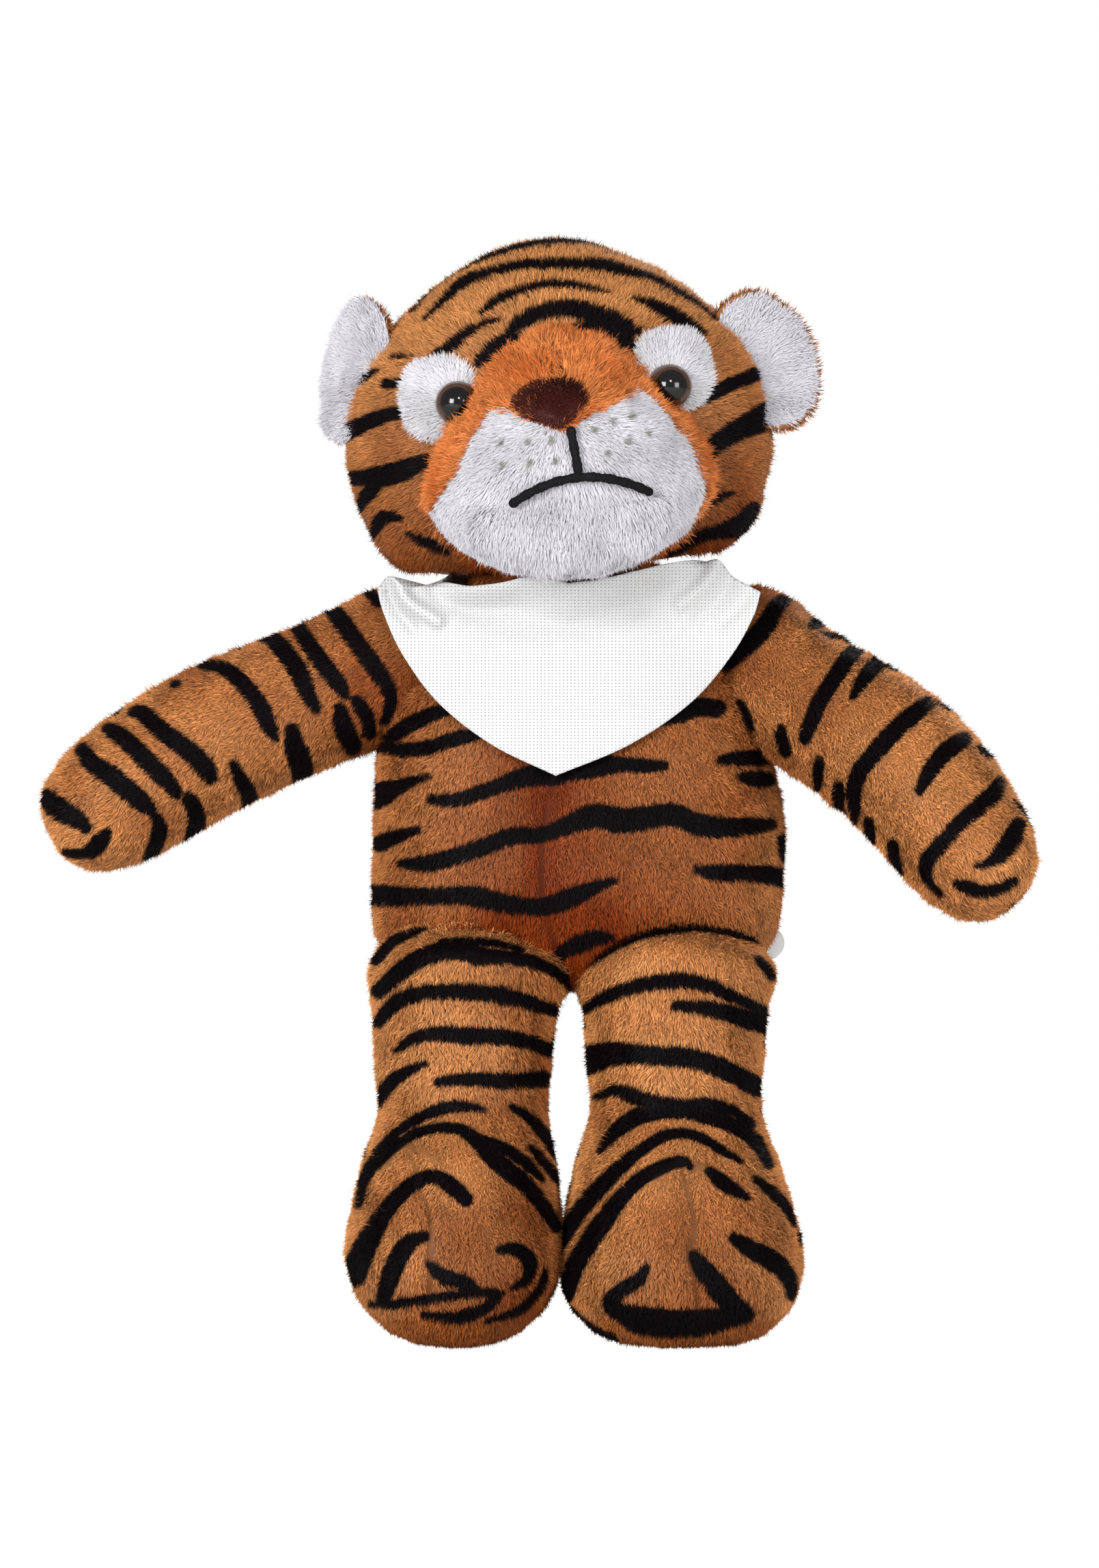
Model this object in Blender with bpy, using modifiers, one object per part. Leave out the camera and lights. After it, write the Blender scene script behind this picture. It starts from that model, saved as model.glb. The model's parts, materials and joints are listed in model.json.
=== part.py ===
"""Standing plush tiger with a white neckerchief.

Stuffed covers on a torso, with a turning head, folding ears, and arms, legs and a tail that
swing at their seams. Metres, +Z up, the face looks along -Y, the toy's left side is at +X.
Every rounded form is a loft: a stack of level sections, each a rounded oval whose half width,
half depth and offset are shares of a few named sizes.
"""
import math

import bmesh
import bpy
import numpy as np
from mathutils import Matrix, Vector

# Fabric and clearances
COVER_THICKNESS = 0.0012
SEAM_GAP = 0.0003
FILLING_INSET = 0.00155
SOLE_PRESS = 0.0005
OVERRUN = 0.020

# Torso
BODY_HALF_WIDTH = 0.0420
BODY_HALF_DEPTH = 0.0290
BODY_BASE_HEIGHT = 0.0720
BODY_HEIGHT = 0.0890
NECK_TOP_HEIGHT = BODY_BASE_HEIGHT + BODY_HEIGHT
NECK_RADIUS = 0.0210
NECK_Y = 0.0010

# Head, in its own frame at the head's centre
HEAD_HALF_WIDTH = 0.0435
HEAD_HALF_DEPTH = 0.0320
HEAD_HALF_HEIGHT = 0.0352
HEAD_RISE = 0.0290
HEAD_CENTRE_HEIGHT = NECK_TOP_HEIGHT + HEAD_RISE
HEAD_SIDE_SHIFT = -0.0025
HEAD_Y = -0.0010
HEAD_ROLL = math.radians(-5)
COLLAR_RADIUS = 0.0310
COLLAR_DROP = 0.0051
COLLAR_HEIGHT = NECK_TOP_HEIGHT - COLLAR_DROP

# Muzzle, in the head's frame
MUZZLE_HALF_WIDTH = 0.0292
MUZZLE_HEIGHT = 0.0500
MUZZLE_REACH = 0.0345
MUZZLE_X = 0.0010
MUZZLE_Y = -0.0210
MUZZLE_TOP = 0.0155
WHITE_PANEL_WIDTH = 0.0550
WHITE_PANEL_HEIGHT = 0.0360
WHITE_PANEL_BOTTOM = -0.0345
CHIN_HALF_WIDTH = 0.0165
CHIN_HALF_DEPTH = 0.0085
CHIN_HALF_HEIGHT = 0.0075
CHIN_X = 0.0035
CHIN_Y = -0.0440
CHIN_HEIGHT = -0.0255
NOSE_WIDTH = 0.0165
NOSE_HEIGHT = 0.0110
NOSE_THICKNESS = 0.0016
NOSE_X = -0.0005
NOSE_BOTTOM = -0.0045
THREAD_RADIUS = 0.0009
MOUTH_WIDTH = 0.0284
MOUTH_DROP = 0.0043
MOUTH_X = 0.0032
MOUTH_HEIGHT = -0.0148
LIP_LINE_LENGTH = 0.0092

# Eyes
EYE_DIAMETER = 0.0090
EYE_DOME_HEIGHT = 0.0048
EYE_SHANK_DIAMETER = 0.0030
EYE_SHANK_LENGTH = 0.0095
EYE_HALF_SPACING = 0.0225
EYE_MIDDLE_X = 0.0017
EYE_HEIGHT = 0.0032
WASHER_DIAMETER = 0.0090
WASHER_THICKNESS = 0.0012
PATCH_HALF_WIDTH = 0.0085
PATCH_HALF_HEIGHT = 0.0090
PATCH_OUTWARD = 0.0022
PATCH_UPWARD = 0.0030
PATCH_THICKNESS = 0.0010

# Ears
EAR_HALF_LENGTH = 0.0155
EAR_REACH = 0.0222
EAR_ROOT_DEPTH = 0.0040
EAR_THICKNESS = 0.0050
EAR_CUP = 0.0035
EAR_CHORD_TOP = (0.0310, -0.0080, 0.0210)
EAR_CHORD_BASE = (0.0385, -0.0100, -0.0080)
EAR_RAISE = {"left": -0.0022, "right": 0.0040}
EAR_YAW = {"left": math.radians(32), "right": math.radians(62)}
EAR_FOLD = (math.radians(-12), math.radians(20))

# Arms
SHOULDER_X = {"left": 0.0370, "right": -0.0355}
SHOULDER_Y = -0.0015
SHOULDER_DROP = 0.0220
SHOULDER_HEIGHT = NECK_TOP_HEIGHT - SHOULDER_DROP
ARM_RADIUS = 0.0154
ARM_LENGTH = 0.0790
ARM_DROP = {"left": math.radians(37), "right": math.radians(27.0)}
ARM_FORWARD = {"left": math.radians(33), "right": math.radians(2)}
ARM_BOW = {"left": 0.0046, "right": 0.0024}
ARM_LOWEST = math.radians(44)
ARM_HIGHEST = math.radians(-30)

# Legs
HIP_X = {"left": 0.0215, "right": -0.0214}
HIP_Y = -0.0090
HIP_DROP = 0.0040
HIP_HEIGHT = BODY_BASE_HEIGHT - HIP_DROP
LEG_HALF_WIDTH = 0.0186
LEG_HALF_DEPTH = 0.0200
FOOT_HALF_WIDTH = {"left": 0.0243, "right": 0.0215}
FOOT_HALF_LENGTH = 0.0270
FOOT_FORWARD = 0.0045
FOOT_OUTWARD = {"left": 0.0018, "right": 0.0036}
FOOT_TUCK = {"left": 0.0, "right": 0.14}
SOLE_SEAM_HEIGHT = 0.0075
LEG_FORWARD_LIMIT = math.radians(78)

# Tail
TAIL_ROOT = (0.0040, 0.0265, 0.0930)
TAIL_RADIUS = 0.0070
TAIL_ROOT_RADIUS = 0.0060
TAIL_DROP = 0.0620
TAIL_BACK = 0.0160
TAIL_SIDE = 0.0220
TAIL_LIFT_LIMIT = math.radians(60)

# Neckerchief and label
CLOTH_THICKNESS = 0.0010
SCARF_HALF_WIDTH = 0.0380
SCARF_TIP_X = -0.0027
SCARF_DROP = 0.0070
SCARF_LENGTH = 0.0382
SCARF_CORNER_DROP = 0.0008
SCARF_TOP_HEIGHT = NECK_TOP_HEIGHT - SCARF_DROP
SCARF_TIP_HEIGHT = SCARF_TOP_HEIGHT - SCARF_LENGTH
SCARF_CORNER_HEIGHT = SCARF_TOP_HEIGHT - SCARF_CORNER_DROP
SCARF_NECK_RADIUS = 0.0226
SCARF_BAND_HEIGHT = 0.0038
SCARF_SHOULDER_DEPTH = 0.0200
SCARF_FOLD_HEIGHT = 0.0013
SCARF_FOLD_WIDTH = 0.0030
KNOT_HALF_WIDTH = 0.0028
KNOT_HALF_DEPTH = 0.0028
KNOT_HALF_HEIGHT = 0.0030
KNOT_TAIL_LENGTH = 0.0120
KNOT_TAIL_WIDTH = 0.0070
KNOT_TAIL_SPREAD = math.radians(24)
LABEL_REACH = 0.0040
LABEL_HEIGHT = 0.0076
LABEL_THICKNESS = 0.0008
LABEL_RISE = 0.0104
LABEL_CENTRE_HEIGHT = BODY_BASE_HEIGHT + LABEL_RISE
LABEL_SEAM_ANGLE = math.radians(14)

# Facets of each form
BODY_SIDES = 20
HEAD_SIDES = 20
MUZZLE_SIDES = 20
ARM_SIDES = 14
LEG_SIDES = 14
TAIL_SIDES = 8
ROOT_SIDES = 24
ROOT_STEPS = 4
TAIL_ROOT_STEPS = 3
NECK_SIDES = 32
CHIN_SIDES = 20
PATCH_SIDES = 20
EAR_SIDES = 20
EAR_RINGS = 4
EYE_SIDES = 16
EYE_STEPS = 5
KNOT_SIDES = 16
ARC_STEPS = 9
LINE_STEPS = 4

# Level sections, each: height share, half-width share, half-depth share, sway share, squareness.
BODY_SHARES = [
    (0.000, 0.46, 0.42, 0.00, 2.0),
    (0.045, 0.82, 0.68, 0.01, 2.2),
    (0.120, 0.97, 0.86, 0.03, 2.5),
    (0.230, 1.00, 0.99, 0.04, 2.6),
    (0.370, 1.00, 1.00, 0.05, 2.6),
    (0.510, 0.97, 0.97, 0.03, 2.6),
    (0.640, 0.93, 0.91, 0.02, 2.5),
    (0.750, 0.86, 0.83, 0.01, 2.4),
    (0.825, 0.74, 0.75, 0.00, 2.2),
]
NECK_SHARES = [
    (0.870, 1.04),
    (0.900, 1.00),
    (0.955, 1.00),
    (0.990, 0.74),
    (1.000, 0.48),
]
HEAD_SHARES = [
    (-1.000, 0.42, 0.46, 2.2),
    (-0.970, 0.62, 0.66, 2.2),
    (-0.890, 0.775, 0.79, 2.2),
    (-0.740, 0.875, 0.89, 2.2),
    (-0.500, 0.955, 0.96, 2.2),
    (-0.200, 1.000, 1.00, 2.2),
    (0.080, 0.985, 1.00, 2.2),
    (0.330, 0.895, 0.96, 2.2),
    (0.560, 0.730, 0.84, 2.1),
    (0.750, 0.545, 0.67, 2.0),
    (0.890, 0.335, 0.44, 2.0),
    (0.970, 0.165, 0.22, 2.0),
]
MUZZLE_SHARES = [
    (0.00, 0.10, 0.36),
    (0.06, 0.36, 0.52),
    (0.16, 0.56, 0.70),
    (0.27, 0.70, 0.86),
    (0.38, 0.84, 0.95),
    (0.50, 0.95, 1.00),
    (0.62, 1.00, 0.99),
    (0.74, 0.95, 0.90),
    (0.86, 0.78, 0.74),
    (0.95, 0.52, 0.54),
    (1.00, 0.26, 0.40),
]
ARM_SHARES = [
    (0.00, 1.00),
    (0.20, 0.98),
    (0.45, 1.00),
    (0.68, 0.99),
    (0.84, 0.90),
    (0.94, 0.68),
    (0.985, 0.40),
]
# Leg sections: height share of the hip height, width share, depth share, share of foot in it.
LEG_SHARES = [
    (1.000, 1.00, 1.00, 0.00),
    (0.860, 0.99, 0.98, 0.00),
    (0.730, 0.94, 0.93, 0.02),
    (0.650, 0.95, 0.98, 0.14),
    (0.550, 0.98, 1.02, 0.44),
    (0.420, 0.98, 1.00, 0.80),
    (0.280, 1.00, 1.00, 1.00),
    (0.150, 0.96, 0.97, 1.00),
    (0.060, 0.80, 0.86, 1.00),
]
SOLE_WIDTH_SHARE = 0.58
SOLE_DEPTH_SHARE = 0.68
TUCK_START_SHARE = 0.28
ROUND_POWER = 2
FOOT_SQUARING = 0.3
TAIL_SHARES = [
    (0.00, 0.00, 0.86),
    (0.12, 0.45, 0.94),
    (0.30, 0.80, 1.00),
    (0.52, 1.00, 1.00),
    (0.76, 0.96, 0.98),
    (0.92, 0.84, 0.84),
    (0.98, 0.78, 0.50),
]
TAIL_SIDE_POWER = 1.1
TAIL_SWEEP_SHARE = 0.33
PATCH_POWER = 2.6
PATCH_BACK_SHARE = 0.25
EAR_PUFF_POWER = 4

# The white panel's outline in shares of its width and height, from its left cheek clockwise.
PANEL_SHARES = [
    (-0.50, 0.42), (-0.36, 0.64), (-0.31, 0.80), (-0.21, 0.97), (-0.10, 0.90), (0.02, 0.82),
    (0.13, 0.90), (0.29, 1.00), (0.38, 0.86), (0.46, 0.66), (0.50, 0.44), (0.43, 0.16),
    (0.28, 0.00), (0.00, -0.10), (-0.32, 0.00), (-0.48, 0.28),
]
NOSE_SHARES = [
    (-0.50, 0.48), (-0.42, 0.72), (-0.22, 0.93), (0.10, 1.00), (0.36, 0.88), (0.48, 0.62),
    (0.46, 0.42), (0.28, 0.14), (0.12, 0.00), (-0.06, 0.08), (-0.34, 0.28),
]
# Columns of the cloth from the middle to a corner: angle round the neck in half turns, then the
# lower edge as shares of the cloth's half width and of the height from its tip to its corner.
SCARF_SHARES = [
    (0.00, 0.00, 0.00), (0.07, 0.36, 0.17), (0.14, 0.66, 0.40), (0.21, 0.86, 0.66),
    (0.27, 0.965, 0.87), (0.31, 1.00, 1.00),
]
SCARF_SETTLE_SHARE = 0.24
SCARF_DRAPE_POWER = 8
# Pleats of the cloth: slope, start as a share of the half width.
FOLD_SHARES = [(0.55, 0.97), (0.95, 0.90)]
FOLD_FADE_SHARE = 0.67
BAND_BLEND_COLUMNS = 2
SCARF_ROWS = 9
SCARF_FRONT_COLUMNS = 12
SCARF_BAND_COLUMNS = 8


def new_collection(name):
    collection = bpy.data.collections.new(name)
    bpy.context.scene.collection.children.link(collection)
    return collection


def material(name, colour, roughness):
    made = bpy.data.materials.new(name)
    made.use_nodes = True
    shader = made.node_tree.nodes["Principled BSDF"]
    shader.inputs["Base Color"].default_value = (*colour, 1.0)
    shader.inputs["Roughness"].default_value = roughness
    return made


def empty(name, location, parent=None):
    made = bpy.data.objects.new(name, None)
    made.empty_display_size = SEAM_GAP
    made.location = location
    made.parent = parent
    PARTS.objects.link(made)
    return made


def add_part(name, mesh, look, parent, location=(0, 0, 0)):
    """One sub-part: a mesh under its pivot, with a material of its own."""
    made = bpy.data.objects.new(name, mesh)
    made.location = location
    made.parent = parent
    colour, roughness = look
    mesh.materials.append(material(name, colour, roughness))
    PARTS.objects.link(made)
    return made


def add_cutter(name, mesh, parent, location=(0, 0, 0)):
    made = bpy.data.objects.new(name, mesh)
    made.location = location
    made.parent = parent
    made.hide_render = True
    made.display_type = "WIRE"
    CUTTERS.objects.link(made)
    return made


def oval(half_width, half_depth, power, sides):
    """Points round a rounded oval in the XY plane, anticlockwise seen from above."""
    angle = np.arange(sides) * 2 * math.pi / sides
    across = np.sign(np.cos(angle)) * np.abs(np.cos(angle)) ** (2 / power)
    along = np.sign(np.sin(angle)) * np.abs(np.sin(angle)) ** (2 / power)
    return np.column_stack([half_width * across, half_depth * along, np.zeros(sides)])


def loft(name, rings, open_end=False):
    """Skin over a stack of rings. A fan closes each end, and open_end leaves the last open."""
    mesh = bmesh.new()
    stack = [[mesh.verts.new(point) for point in ring] for ring in rings]
    for low, high in zip(stack, stack[1:]):
        for near, far, far_up, near_up in zip(low, low[1:] + low[:1], high[1:] + high[:1], high):
            mesh.faces.new((near, far, far_up, near_up))
    ends = [rings[0]] if open_end else [rings[0], rings[-1]]
    for ring, loop in zip(ends, (stack[0], stack[-1])):
        middle = mesh.verts.new(np.mean(ring, axis=0))
        for near, far in zip(loop, loop[1:] + loop[:1]):
            mesh.faces.new((near, far, middle))
    bmesh.ops.recalc_face_normals(mesh, faces=mesh.faces)
    if open_end and outward_volume(mesh) < 0:
        bmesh.ops.reverse_faces(mesh, faces=mesh.faces)
    made = bpy.data.meshes.new(name)
    mesh.to_mesh(made)
    mesh.free()
    made.shade_smooth()
    return made


def outward_volume(mesh):
    """Volume under the faces as seen from their middle, positive where they face outward."""
    middle = sum((vertex.co for vertex in mesh.verts), Vector()) / len(mesh.verts)
    return sum((face.calc_center_median() - middle).dot(face.normal) * face.calc_area()
               for face in mesh.faces)


def shell(part):
    made = part.modifiers.new("fabric", "SOLIDIFY")
    made.thickness = COVER_THICKNESS
    made.offset = -1
    made.use_even_offset = True
    return part


def grow(part, distance):
    made = part.modifiers.new("grow", "DISPLACE")
    made.strength = distance
    made.mid_level = 0
    return part


def boolean(part, cutter, operation="DIFFERENCE"):
    made = part.modifiers.new(cutter.name, "BOOLEAN")
    made.object = cutter
    made.operation = operation
    made.solver = "EXACT"
    return part


def bevel(part, width):
    made = part.modifiers.new("rounding", "BEVEL")
    made.width = width
    made.segments = 2
    made.limit_method = "ANGLE"
    return part


def ball_mesh(name, half_sizes, sides=ROOT_SIDES):
    mesh = bmesh.new()
    bmesh.ops.create_uvsphere(mesh, u_segments=sides, v_segments=sides // 2, radius=1)
    bmesh.ops.scale(mesh, vec=half_sizes, verts=mesh.verts)
    made = bpy.data.meshes.new(name)
    mesh.to_mesh(made)
    mesh.free()
    made.shade_smooth()
    return made


def rod_mesh(name, radius, length, sides=ROOT_SIDES, width_scale=1):
    """Cylinder from its own origin along +Z, widened along X by a scale."""
    mesh = bmesh.new()
    bmesh.ops.create_cone(mesh, cap_ends=True, segments=sides, radius1=radius, radius2=radius,
                          depth=length)
    bmesh.ops.translate(mesh, vec=(0, 0, length / 2), verts=mesh.verts)
    bmesh.ops.scale(mesh, vec=(width_scale, 1, 1), verts=mesh.verts)
    made = bpy.data.meshes.new(name)
    mesh.to_mesh(made)
    mesh.free()
    return made


def box_mesh(name, low, high):
    mesh = bmesh.new()
    bmesh.ops.create_cube(mesh, size=1)
    size = Vector(high) - Vector(low)
    bmesh.ops.scale(mesh, vec=size, verts=mesh.verts)
    bmesh.ops.translate(mesh, vec=Vector(low) + size / 2, verts=mesh.verts)
    made = bpy.data.meshes.new(name)
    mesh.to_mesh(made)
    mesh.free()
    return made


def prism_mesh(name, outline, front, back):
    """Flat outline in X and Z, extruded along Y from front to back."""
    mesh = bmesh.new()
    near = [mesh.verts.new((x, front, z)) for x, z in outline]
    far = [mesh.verts.new((x, back, z)) for x, z in outline]
    mesh.faces.new(near)
    mesh.faces.new(far[::-1])
    for a, b, c, d in zip(near, near[1:] + near[:1], far[1:] + far[:1], far):
        mesh.faces.new((b, a, d, c))
    bmesh.ops.recalc_face_normals(mesh, faces=mesh.faces)
    made = bpy.data.meshes.new(name)
    mesh.to_mesh(made)
    mesh.free()
    return made


def turned_clear(radius, sides=ROOT_SIDES):
    """Radius of a cutter whose flat facets still clear a round root by the seam gap."""
    return (radius + SEAM_GAP) / math.cos(math.pi / sides)


def aim(direction):
    """Rotation that takes +Z to a direction and keeps +X level."""
    ahead = Vector(direction).normalized()
    across = Vector((1, 0, 0)) if abs(ahead.x) < 0.5 else Vector((0, 1, 0))
    up = ahead.cross(across).normalized()
    across = up.cross(ahead)
    return Matrix((across, up, ahead)).transposed().to_euler()


def body_rings():
    height = BODY_HEIGHT
    rings = []
    for level, width, depth, sway, power in BODY_SHARES:
        ring = oval(BODY_HALF_WIDTH * width, BODY_HALF_DEPTH * depth, power, BODY_SIDES)
        rings.append(ring + (BODY_HALF_WIDTH * sway, 0, BODY_BASE_HEIGHT + height * level))
    for level, radius in NECK_SHARES:
        ring = oval(NECK_RADIUS * radius, NECK_RADIUS * radius, 2, BODY_SIDES)
        rings.append(ring + (0, NECK_Y, BODY_BASE_HEIGHT + height * level))
    return rings


def head_rings():
    rings = []
    for level, width, depth, power in HEAD_SHARES:
        ring = oval(HEAD_HALF_WIDTH * width, HEAD_HALF_DEPTH * depth, power, HEAD_SIDES)
        rings.append(ring + (0, 0, HEAD_HALF_HEIGHT * level))
    return rings


def muzzle_rings():
    rings = []
    for level, width, reach in MUZZLE_SHARES:
        ring = oval(MUZZLE_HALF_WIDTH * width, MUZZLE_REACH * reach, 2, MUZZLE_SIDES)
        rings.append(ring + (MUZZLE_X, MUZZLE_Y, MUZZLE_TOP - MUZZLE_HEIGHT * level))
    return rings[::-1]


def root_angles(steps=ROOT_STEPS):
    return [math.radians(90) * (1 - step / steps) for step in range(steps)]


def arm_rings(side):
    """Sections along +X from the round root to the paw, mirrored for the right arm."""
    sign = 1 if side == "left" else -1
    rings = []
    for angle in root_angles()[1:]:
        radius = ARM_RADIUS * math.cos(angle)
        ring = oval(radius, radius, 2, ARM_SIDES)[:, [2, 0, 1]]
        rings.append(ring - (ARM_RADIUS * math.sin(angle), 0, 0))
    for along, thickness in ARM_SHARES:
        radius = ARM_RADIUS * thickness
        ring = oval(radius, radius, 2, ARM_SIDES)[:, [2, 0, 1]]
        bow = ARM_BOW[side] * math.sin(math.pi * along) ** 2
        rings.append(ring + (ARM_LENGTH * along, 0, bow))
    return [ring * (sign, 1, 1) for ring in rings[::-1]]


def leg_rings(side):
    """Level sections from the sole up to the round root, about the hip."""
    sign = 1 if side == "left" else -1
    rings = []
    rows = LEG_SHARES + [(-SOLE_PRESS / HIP_HEIGHT, SOLE_WIDTH_SHARE, SOLE_DEPTH_SHARE, 1.0)]
    for level, width, depth, foot in rows[::-1]:
        width -= FOOT_TUCK[side] * max(1 - level / TUCK_START_SHARE, 0)
        half_width = LEG_HALF_WIDTH + foot * (FOOT_HALF_WIDTH[side] - LEG_HALF_WIDTH)
        half_depth = LEG_HALF_DEPTH + foot * (FOOT_HALF_LENGTH - LEG_HALF_DEPTH)
        ring = oval(half_width * width, half_depth * depth, ROUND_POWER + foot * FOOT_SQUARING,
                    LEG_SIDES)
        rings.append(ring + (sign * foot * FOOT_OUTWARD[side], -foot * FOOT_FORWARD,
                             HIP_HEIGHT * (level - 1)))
    for angle in root_angles()[:0:-1]:
        ring = oval(LEG_HALF_WIDTH * math.cos(angle), LEG_HALF_DEPTH * math.cos(angle), 2,
                    LEG_SIDES)
        rings.append(ring + (0, 0, LEG_HALF_DEPTH * math.sin(angle)))
    return rings


def tail_rings():
    """Sections from the tip up to the round root, square to the tail's bent middle line."""
    rows = [(drop * TAIL_DROP, back * TAIL_BACK, thick * TAIL_RADIUS)
            for drop, back, thick in TAIL_SHARES]
    middles = [Vector((TAIL_SIDE * (drop / TAIL_DROP) ** TAIL_SIDE_POWER, back, -drop))
               for drop, back, thick in rows]
    rings = []
    first = (middles[1] - middles[0]).normalized()
    for angle in root_angles(TAIL_ROOT_STEPS)[1:]:
        radius = TAIL_ROOT_RADIUS * math.cos(angle)
        middle = -first * TAIL_ROOT_RADIUS * math.sin(angle)
        rings.append(tail_ring(middle, first, radius))
    for index, (middle, row) in enumerate(zip(middles, rows)):
        ahead = middles[min(index + 1, len(rows) - 1)] - middles[max(index - 1, 0)]
        rings.append(tail_ring(middle, ahead.normalized(), row[2]))
    return rings[::-1]


def tail_ring(middle, ahead, radius):
    across = Vector((1, 0, 0)) - ahead * ahead.x
    across.normalize()
    up = ahead.cross(across)
    angle = np.arange(TAIL_SIDES) * 2 * math.pi / TAIL_SIDES
    return (np.array(middle) + radius * (np.outer(np.cos(angle), across)
                                         + np.outer(np.sin(angle), up)))


def covered(name, rings, looks, parent, location=(0, 0, 0), rotation=(0, 0, 0)):
    """A fabric shell open at its last ring, and the stuffing that fills it."""
    cover = shell(add_part(name + "_cover", loft(name + "_cover", rings, True), looks[0],
                           parent, location))
    filling = add_part(name + "_filling", loft(name + "_filling", rings), looks[1],
                       parent, location)
    grow(filling, -FILLING_INSET)
    for part in (cover, filling):
        part.rotation_euler = rotation
    return cover, filling


def at(value, table):
    """Read a column of a share table at a value of its first column."""
    columns = np.array(table).T
    order = np.argsort(columns[0])
    return [float(np.interp(value, columns[0][order], column[order])) for column in columns[1:]]


def body_front(x, height):
    """Depth of the body's front at a place, zero beside it."""
    level = (height - BODY_BASE_HEIGHT) / BODY_HEIGHT
    width, depth, sway, power = at(level, BODY_SHARES)
    across = abs(x - sway * BODY_HALF_WIDTH) / (BODY_HALF_WIDTH * width)
    return BODY_HALF_DEPTH * depth * max(1 - across ** power, 0) ** (1 / power)


def muzzle_front(x, height):
    """Y of the muzzle's surface in the head's frame."""
    width, reach = at((MUZZLE_TOP - height) / MUZZLE_HEIGHT, MUZZLE_SHARES)
    across = (x - MUZZLE_X) / (MUZZLE_HALF_WIDTH * width)
    return MUZZLE_Y - MUZZLE_REACH * reach * math.sqrt(max(1 - across ** 2, 0))


def head_place(x, height):
    """Point on the head's front and the way that its surface faces there."""
    def surface(x, height):
        width, depth, power = at(height / HEAD_HALF_HEIGHT, HEAD_SHARES)
        across = abs(x) / (HEAD_HALF_WIDTH * width)
        return Vector((x, -HEAD_HALF_DEPTH * depth * (1 - across ** power) ** (1 / power), height))
    step = SEAM_GAP
    across = surface(x + step, height) - surface(x - step, height)
    upward = surface(x, height + step) - surface(x, height - step)
    return surface(x, height), across.cross(upward).normalized()


def torso(pivot):
    cover, filling = covered("body", body_rings(), (ORANGE, STUFFING), pivot)
    for side in SIDES:
        sign = 1 if side == "left" else -1
        shoulder = (SHOULDER_X[side], SHOULDER_Y, SHOULDER_HEIGHT)
        radius = turned_clear(ARM_RADIUS)
        cutters = [add_cutter(side + "_shoulder_socket",
                              ball_mesh("socket", (radius, radius, radius)), pivot, shoulder)]
        for drop in (ARM_LOWEST, ARM_DROP[side], ARM_HIGHEST):
            lean = ARM_FORWARD[side]
            ahead = (sign * math.cos(drop) * math.cos(lean), -math.cos(drop) * math.sin(lean),
                     -math.sin(drop))
            sweep = add_cutter(side + "_arm_sweep", rod_mesh("sweep", radius, ARM_LENGTH),
                               pivot, shoulder)
            sweep.rotation_euler = aim(ahead)
            cutters.append(sweep)
        hip = (HIP_X[side], HIP_Y, HIP_HEIGHT)
        deep = turned_clear(LEG_HALF_DEPTH)
        wide = turned_clear(LEG_HALF_WIDTH)
        cutters.append(add_cutter(side + "_hip_socket", ball_mesh("socket", (wide, deep, deep)),
                                  pivot, hip))
        for swing in (0, LEG_FORWARD_LIMIT):
            sweep = add_cutter(side + "_leg_sweep",
                               rod_mesh("sweep", deep, HIP_HEIGHT, width_scale=wide / deep),
                               pivot, hip)
            sweep.rotation_euler = (math.pi - swing, 0, 0)
            cutters.append(sweep)
        for cutter in cutters:
            boolean(cover, cutter)
            boolean(filling, cutter)
    root = turned_clear(TAIL_ROOT_RADIUS)
    cutters = [add_cutter("tail_socket", ball_mesh("socket", (root, root, root)), pivot,
                          TAIL_ROOT)]
    drop, back = TAIL_SHARES[1][:2]
    ahead = Vector((0, TAIL_BACK * back, -TAIL_DROP * drop))
    for lift in (0, TAIL_LIFT_LIMIT):
        sweep = add_cutter("tail_sweep",
                           rod_mesh("sweep", turned_clear(TAIL_RADIUS) + 3 * SEAM_GAP,
                                    TAIL_DROP * TAIL_SWEEP_SHARE), pivot, TAIL_ROOT)
        sweep.rotation_euler = aim(Matrix.Rotation(lift, 3, "X") @ ahead)
        cutters.append(sweep)
    for cutter in cutters:
        boolean(cover, cutter)
        boolean(filling, cutter)


def head(pivot):
    cover, filling = covered("head", head_rings()[::-1], (ORANGE, STUFFING), pivot)
    neck = add_cutter("neck_socket", rod_mesh("neck", turned_clear(NECK_RADIUS, NECK_SIDES),
                                              NECK_TOP_HEIGHT + SEAM_GAP, NECK_SIDES), TOY,
                      (0, NECK_Y, 0))
    collar = add_cutter("collar_clearance",
                        rod_mesh("collar", COLLAR_RADIUS, COLLAR_HEIGHT, NECK_SIDES),
                        TOY, (0, NECK_Y, 0))
    for part in (cover, filling):
        boolean(part, neck)
        boolean(part, collar)
    return cover, filling


def head_form(name, parent, distance):
    return grow(add_cutter(name, loft(name, head_rings()), parent), distance)


def muzzle_form(name, parent, distance):
    return grow(add_cutter(name, loft(name, muzzle_rings()), parent), distance)


def panel_outline(shares, width, height, middle_x, bottom, margin=0.0):
    points = [Vector((middle_x + width * x, bottom + height * z)) for x, z in shares]
    middle = sum(points, Vector((0, 0))) / len(points)
    return [point + (point - middle).normalized() * margin for point in points]


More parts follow.
